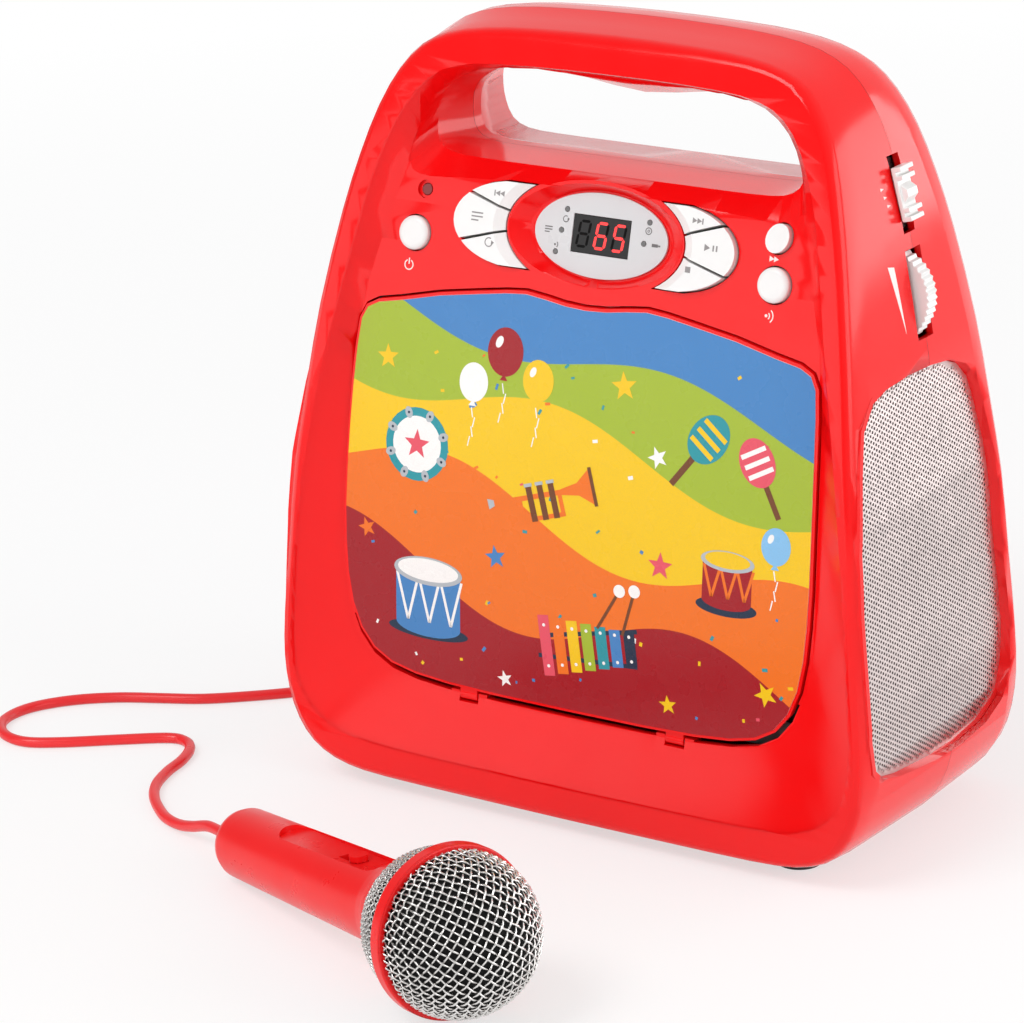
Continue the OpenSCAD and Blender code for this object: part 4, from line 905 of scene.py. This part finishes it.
def maraca(p, cx, cz, r, turn, a_ink, b_ink):
    d = math.radians(turn)
    p.rect(cx - 1.6 * r * math.cos(d), cz - 1.6 * r * math.sin(d), 2.2 * r, r * 0.28, "brown", 3, turn)
    p.oval(cx, cz, r * 1.15, r * 0.9, a_ink, 4, turn)
    for k, t in enumerate((-0.5, 0, 0.5)):
        p.rect(cx + t * r * math.cos(d), cz + t * r * math.sin(d), r * 0.22, r * 1.35, b_ink, 5, turn)


def balloon(p, cx, cz, r, color):
    for k in range(4):
        x, z = cx + math.sin(k * 1.4) * 0.9, cz - r * 1.3 - 3.4 * k - 1.6
        p.rect(x, z, 0.45, 3.6, "white", 3, 12 * (-1) ** k)
    p.oval(cx, cz, r * 0.86, r, color, 4)
    p.add([(cx - 1.6, cz - r - 1.4), (cx + 1.6, cz - r - 1.4), (cx, cz - r + 0.8)], color, 4)
    p.oval(cx - r * 0.32, cz + r * 0.38, r * 0.16, r * 0.26, "white", 5, -25)


def xylophone(p, cx, cz, turn):
    d = math.radians(turn)
    p.rect(cx, cz + 5, 40, 1.6, "navy", 3, turn + 4)
    p.rect(cx, cz - 5, 40, 1.6, "navy", 3, turn - 4)
    for k, color in enumerate(("pink", "orange", "yellow", "green", "teal", "blue", "navy")):
        t = -17 + 5.7 * k
        p.rect(cx + t * math.cos(d), cz + t * math.sin(d), 4.4, 22 - 1.7 * k, color, 4, turn)
        for e in (-1, 1):
            (x, z), = turned_points([(t, e * (7.4 - 0.5 * k))], cx, cz, turn)
            p.oval(x, z, 0.6, 0.6, "white", 5)
    for x, b in ((cx + 8, 60), (cx + 16, 75)):
        p.rect(x, cz + 15, 17, 1.1, "brown", 6, b)
        (tip_x, tip_z), = turned_points([(8.6, 0)], x, cz + 15, b)
        p.oval(tip_x, tip_z, 2.3, 2.3, "white", 7)


def tambourine(p, cx, cz, r):
    p.ring(cx, cz, r, 3.0, "teal", 3)
    p.oval(cx, cz, r - 3.0, r - 3.0, "white", 3)
    for k in range(8):
        turn = 45 * k + 20
        (x, z), = turned_points([(r - 1.5, 0)], cx, cz, turn)
        p.oval(x, z, 2.1, 1.5, "silver", 4, turn)
        p.oval(x, z, 0.5, 0.5, "navy", 5)
    p.star(cx, cz, r * 0.42, "pink", 4)


def trumpet(p, cx, cz, turn):
    def at(points):
        return turned_points(points, cx, cz, turn)

    p.add(at([(-20, -0.9), (10, -0.9), (10, 0.9), (-20, 0.9)]), "orange", 3)
    p.add(at([(8, -1), (15, -2.2), (15, 2.2), (8, 1)]), "orange", 3)
    p.add(at([(15, -2.2), (21, -6.5), (21, 6.5), (15, 2.2)]), "orange", 3)
    p.add(at([(20.4, -6.8), (21.8, -6.8), (21.8, 6.8), (20.4, 6.8)]), "brown", 4)
    p.add(at([(-9, -8.4), (7, -8.4), (7, -6.8), (-9, -6.8)]), "orange", 3)
    for x in (-10.2, 6.4):
        p.add(at([(x, -8.4), (x + 1.7, -8.4), (x + 1.7, 0), (x, 0)]), "orange", 3)
    for x in (-6, -1.4, 3.2):
        p.add(at([(x, -8.6), (x + 2.4, -8.6), (x + 2.4, 3.6), (x, 3.6)]), "brown", 4)
        p.add(at([(x - 0.4, 3.6), (x + 2.8, 3.6), (x + 2.8, 4.8), (x - 0.4, 4.8)]), "silver", 5)
    p.add(at([(-22.5, -1.9), (-20, -1), (-20, 1), (-22.5, 1.9)]), "silver", 3)


drum(picture, -58, 66, 27, 20, "white", "blue", "white")
drum(picture, 62, 96, 19, 14, "yellow", "dark_red", "orange")
xylophone(picture, 8, 70, 8)
maraca(picture, 52, 150, 8, 52, "teal", "yellow")
maraca(picture, 71, 145, 7.4, 118, "pink", "white")
tambourine(picture, -64, 131, 13)
trumpet(picture, -12, 121, 17)
BALLOONS = ((-30, 168, 8.4, "dark_red"), (-16, 160, 7.2, "yellow"), (-42, 156, 6.8, "white"),
            (80, 118, 6.5, "sky"))
for x, z, r, color in BALLOONS:
    balloon(picture, x, z, r, color)
STARS = ((18, 163, 5.2, "yellow", 10), (33, 141, 4.0, "white", 25), (-78, 160, 4.6, "yellow", 5),
         (36, 104, 5.0, "pink", 0), (-30, 96, 4.4, "blue", 12), (-84, 98, 3.8, "orange", 20),
         (40, 55, 3.6, "yellow", 8), (-26, 52, 3.2, "white", 15), (78, 66, 4.6, "yellow", 30))
for x, z, r, color, turn in STARS:
    picture.star(x, z, r, color, 3, turn)
CONFETTI, CONFETTI_INKS = 70, ("blue", "yellow", "orange", "pink", "teal", "white")
draw = random.Random(11)
for k in range(CONFETTI):
    cx, cz = draw.uniform(-88, 88), draw.uniform(50, 176)
    lo, hi = span_at(cx)
    if lo + 3 < cz < hi - 3:
        picture.rect(cx, cz, draw.uniform(0.9, 2.2), draw.uniform(0.7, 1.3),
                     draw.choice(CONFETTI_INKS), 2, draw.uniform(0, 90))
door_picture = mesh_object("door_picture", picture.verts, picture.faces, [inks[n] for n in ink_order],
                           picture.index)
place(door_picture, body_of["door_print"])


# ---- symbols on the keys and the bezel, display digits, marks on the side ----
KEY_TOP = 2.6                       # above the panel
BEZEL_TOP, GLASS_TOP = 1 - DISH, 0.7 - DISH
PRINT_LIFT = 0.03


def decal(name, shapes, at, lift, mat, body):
    """Flat convex shapes in the millimetres of the frame `at`, lift above its plane."""
    verts, faces = [], []
    for points in shapes:
        faces.append(new_face(points, len(verts)))
        verts += [at @ Vector((x, y, lift)) for x, y in points]
    return place(mesh_object(name, verts, faces, mat), body)


row = on_face(0, KEYS_Z)
S = 2.0                             # size of a symbol
# places in the panel's millimetres, from its middle at the keys' height
SYMBOLS = {
    "previous": [bar(-39.9, 10, 0.5, S), arrow(-38.7, 10, S * 0.9, -1), arrow(-36.9, 10, S * 0.9, -1)],
    "next": [arrow(39.2, 10, S * 0.9), arrow(41.0, 10, S * 0.9), bar(42.2, 10, 0.5, S)],
    "play": [arrow(45.0, 1.6, S * 1.1), bar(47.3, 1.6, 0.6, S), bar(48.6, 1.6, 0.6, S)],
    "stop": [bar(38.6, -6.6, S, S)],
    "programme": [bar(-46, 2.4, 4.6, 0.5), bar(-46, 1.1, 4.6, 0.5), bar(-46.8, -0.2, 3.0, 0.5)],
    "repeat": hoop(-40.2, -7.1, 1.7, 0.42, 60, 360) + [arrow(-38.6, -7.1, 1.3, 1)],
}
for n, shapes in SYMBOLS.items():
    decal("symbol_" + n, shapes, row, KEY_TOP + PRINT_LIFT, mark, "key_%s_body" % n)
BEZEL_SIGNS = [
    *hoop(-14.4, 4.2, 1.2, 0.34, 60, 360), arrow(-13.3, 4.3, 0.9),
    bar(-20.8, 0.9, 3.0, 0.4), bar(-20.8, 0.0, 3.0, 0.4), bar(-21.3, -0.9, 2.0, 0.4),
    *hoop(-17.6, -4.9, 1.3, 0.36, -50, 50, 6), disc(-17.6, -4.9, 0.4, 10),
    *hoop(18.4, 4.0, 1.3, 0.34), *hoop(18.4, 4.0, 0.5, 0.25),
    bar(21.4, -0.6, 2.4, 1.1), bar(23.1, -0.6, 0.9, 0.6)]
decal("bezel_signs", BEZEL_SIGNS, row, BEZEL_TOP + PRINT_LIFT, mark_dark, "case")

# seven-segment digits: the first unlit, then 6 and 5
DIGIT_H, DIGIT_W, DIGIT_STEP = 9.6, 4.9, 7.0
SLANT, STROKE, STROKE_GAP = 0.12, 0.95, 0.22
ON = {0: "", 1: "afgedc", 2: "afgcd"}


def segment(kind, cx):
    """One of the seven strokes of the digit whose middle is at cx."""
    h, w, k, g = DIGIT_H / 2, DIGIT_W / 2, STROKE / 2, STROKE_GAP
    flat = {"a": h - k, "g": 0.0, "d": -h + k}
    if kind in flat:
        y = flat[kind]
        pts = [(-w + k + g, y), (-w + 2 * k + g, y + k), (w - 2 * k - g, y + k), (w - k - g, y),
               (w - 2 * k - g, y - k), (-w + 2 * k + g, y - k)]
    else:
        x = w - k if kind in "bc" else -w + k
        y0, y1 = (g, h - k - g) if kind in "bf" else (-h + k + g, -g)
        pts = [(x, y0), (x + k, y0 + k), (x + k, y1 - k), (x, y1), (x - k, y1 - k), (x - k, y0 + k)]
    return [(cx + x + SLANT * y, y) for x, y in pts]


lit_shapes, off_shapes = [], []
for place_no, on in ON.items():
    for kind in "abcdefg":
        (lit_shapes if kind in on else off_shapes).append(segment(kind, DIGIT_STEP * (place_no - 1)))
decal("digits_lit", lit_shapes, row, GLASS_TOP + PRINT_LIFT, lit, "case")
decal("digits_unlit", off_shapes, row, GLASS_TOP + PRINT_LIFT, off_segment, "case")

shell = welded("front_shell")
shell_tree = BVHTree.FromBMesh(shell)
shell.free()


def printed(name, shapes, at):
    """Flat marks printed on the front shell: drawn in the frame `at` and laid on the solid by rays."""
    verts, faces = [], []
    inward = -(at.to_3x3() @ Vector((0, 0, 1))).normalized()
    for points in shapes:
        faces.append(new_face(points, len(verts)))
        for x, y in points:
            start = at @ Vector((x, y, 4))
            verts.append(shell_tree.ray_cast(start, inward)[0] - inward * PRINT_LIFT * MM)
    return place(mesh_object(name, verts, faces, mark_light), "case")


printed("symbol_power", hoop(-1.4, -11.4, 1.9, 0.42, 115, 425) + [bar(-1.4, -10.1, 0.46, 2.2)],
        on_face(POWER_X, ROUND_Z))
printed("symbol_skip", [arrow(-2.2, -7.0, 1.8), arrow(-0.5, -7.0, 1.8)], on_face(RIGHT_X, SKIP_Z))
printed("symbol_pairing", [arc for r in (1.5, 2.8) for arc in hoop(-2.0, -10.4, r, 0.42, -50, 50, 8)]
        + [disc(-2.0, -10.4, 0.55, 12)], on_face(RIGHT_X, ROUND_Z))

# marks on the right side: X along the case's Y, Y up, Z outward
SIDE_X = 118                        # outside the case at this height
side = SCALE @ Matrix(((0, 0, 1, SIDE_X), (1, 0, 0, 0), (0, 1, 0, 0), (0, 0, 0, 1)))
TICKS = ((-5.7, 232.8), (-4.9, 230.0), (-4.0, 227.1))
tick_marks = [[(y - 1.1, z - 0.55), (y + 0.9, z), (y - 1.1, z + 0.55)] for y, z in TICKS]
# the wedge beside the wheel is cut in rows, so that it follows the case's curve
WEDGE_ROWS = 6
wedge = []
for k in range(WEDGE_ROWS):
    a, b = k / WEDGE_ROWS, (k + 1) / WEDGE_ROWS
    left = [(-12.0 + 5.1 * t, 208.4 - 23.8 * t) for t in (a, b)]
    right = [(-8.2 + 1.3 * t, 207.6 - 23.0 * t) for t in (a, b)]
    wedge.append([left[0], left[1], right[1], right[0]] if b < 1 else [left[0], left[1], right[0]])
printed("side_marks", tick_marks + wedge, side)


# ---- floor, backdrop and light ----
FLOOR = 5.0
PAPER_NEAR, PAPER_FAR = (0.25, 0.62), (1.3, 1.0)     # distance from the middle, and share of plain white
paper = Shade("floor_paper", (0.93, 0.93, 0.93), 0.7)
paper.tint(paper.remap(paper.noise(3, 3), 0, 1), (0.92, 0.92, 0.925))
ray = paper.node("ShaderNodeLightPath").outputs
mirrored = paper.math("MAXIMUM", ray["Is Glossy Ray"], ray["Is Transmission Ray"])
seen = paper.math("MAXIMUM", ray["Is Camera Ray"], mirrored)
away = paper.node("ShaderNodeVectorMath", operation="LENGTH")
paper.link(paper.coord, away.inputs[0])
white_share = paper.remap(away.outputs["Value"], PAPER_NEAR[1], PAPER_FAR[1], PAPER_NEAR[0], PAPER_FAR[0])
mix = paper.node("ShaderNodeMixShader")
paper.link(paper.math("MULTIPLY", white_share, seen), mix.inputs[0])
paper.link(paper.bsdf.outputs[0], mix.inputs[1])
paper.link(paper.node("ShaderNodeEmission").outputs[0], mix.inputs[2])
paper.link(mix.outputs[0], paper.tree.nodes["Material Output"].inputs[0])
corners = [(x, y, 0) for x, y in bar(0, 0, 2 * FLOOR, 2 * FLOOR)]
floor = mesh_object("floor", corners, [(0, 1, 2, 3)], paper.mat)

WORLD_LIGHT = 0.6                   # strength of the world as a lamp; to the eye it is 1
GLOSS_DIM, GLOSS_BRIGHT = 0.22, 1.0
GLOSS_EDGE = (-0.35, 0.55)          # from in front of the object to behind it
BRIGHT_SIDE = (0.5, 0.8, 0.2)
world = bpy.data.worlds.new("studio")
scene.world = world
world.use_nodes = True
wt = world.node_tree
background = wt.nodes["Background"]
background.inputs[0].default_value = (1, 1, 1, 1)


def world_node(kind, operation=None, *inputs):
    """A node of the world, with links or values on its sockets in order."""
    n = wt.nodes.new(kind)
    if operation:
        n.operation = operation
    for socket, value in zip(n.inputs, inputs):
        if isinstance(value, bpy.types.NodeSocket):
            wt.links.new(value, socket)
        else:
            socket.default_value = value
    return n


# in gloss the world is bright behind and beside the object and dim in front, like a studio
world_path = world_node("ShaderNodeLightPath")
facing = world_node("ShaderNodeVectorMath", "DOT_PRODUCT")
wt.links.new(world_node("ShaderNodeTexCoord").outputs["Generated"], facing.inputs[0])
facing.inputs[1].default_value = Vector(BRIGHT_SIDE).normalized()
studio = world_node("ShaderNodeMapRange", None, facing.outputs["Value"], *GLOSS_EDGE, GLOSS_DIM, GLOSS_BRIGHT)
shown = world_node("ShaderNodeMath", "MAXIMUM", world_path.outputs["Is Camera Ray"],
                   world_path.outputs["Is Transmission Ray"])
plain = world_node("ShaderNodeMapRange", None, shown.outputs[0], 0.0, 1.0, WORLD_LIGHT, 1.0)
change = world_node("ShaderNodeMath", "SUBTRACT", studio.outputs[0], plain.outputs[0])
in_gloss = world_node("ShaderNodeMath", "MULTIPLY", world_path.outputs["Is Glossy Ray"], change.outputs[0])
strength = world_node("ShaderNodeMath", "ADD", plain.outputs[0], in_gloss.outputs[0])
wt.links.new(strength.outputs[0], background.inputs[1])


def lamp(name, spot, aim, size, power):
    """A soft rectangular lamp at spot, turned to aim: metres and watts."""
    data = bpy.data.lights.new(name, "AREA")
    data.shape = "RECTANGLE"
    data.size, data.size_y = size
    data.energy = power
    o = bpy.data.objects.new(name, data)
    scene.collection.objects.link(o)
    spot, aim = Vector(spot), Vector(aim)
    o.matrix_world = Matrix.Translation(spot) @ (aim - spot).to_track_quat("-Z", "Y").to_matrix().to_4x4()


lamp("key", (-0.5, -1.4, 1.9), (0, 0, 0.1), (1.0, 1.0), 22)
lamp("side", (1.9, 0.1, 0.7), (0, 0, 0.12), (1.2, 1.2), 12)
lamp("fill", (0.2, -2.2, 0.5), (0, 0, 0.12), (1.6, 1.0), 7)
lamp("panel", (-1.5, -2.3, 0.45), (0, 0, 0.15), (1.1, 0.9), 5)
lamp("edge", (1.5, 1.8, 0.6), (0.1, 0, 0.18), (1.3, 1.0), 14)

scene.view_settings.view_transform = "Standard"
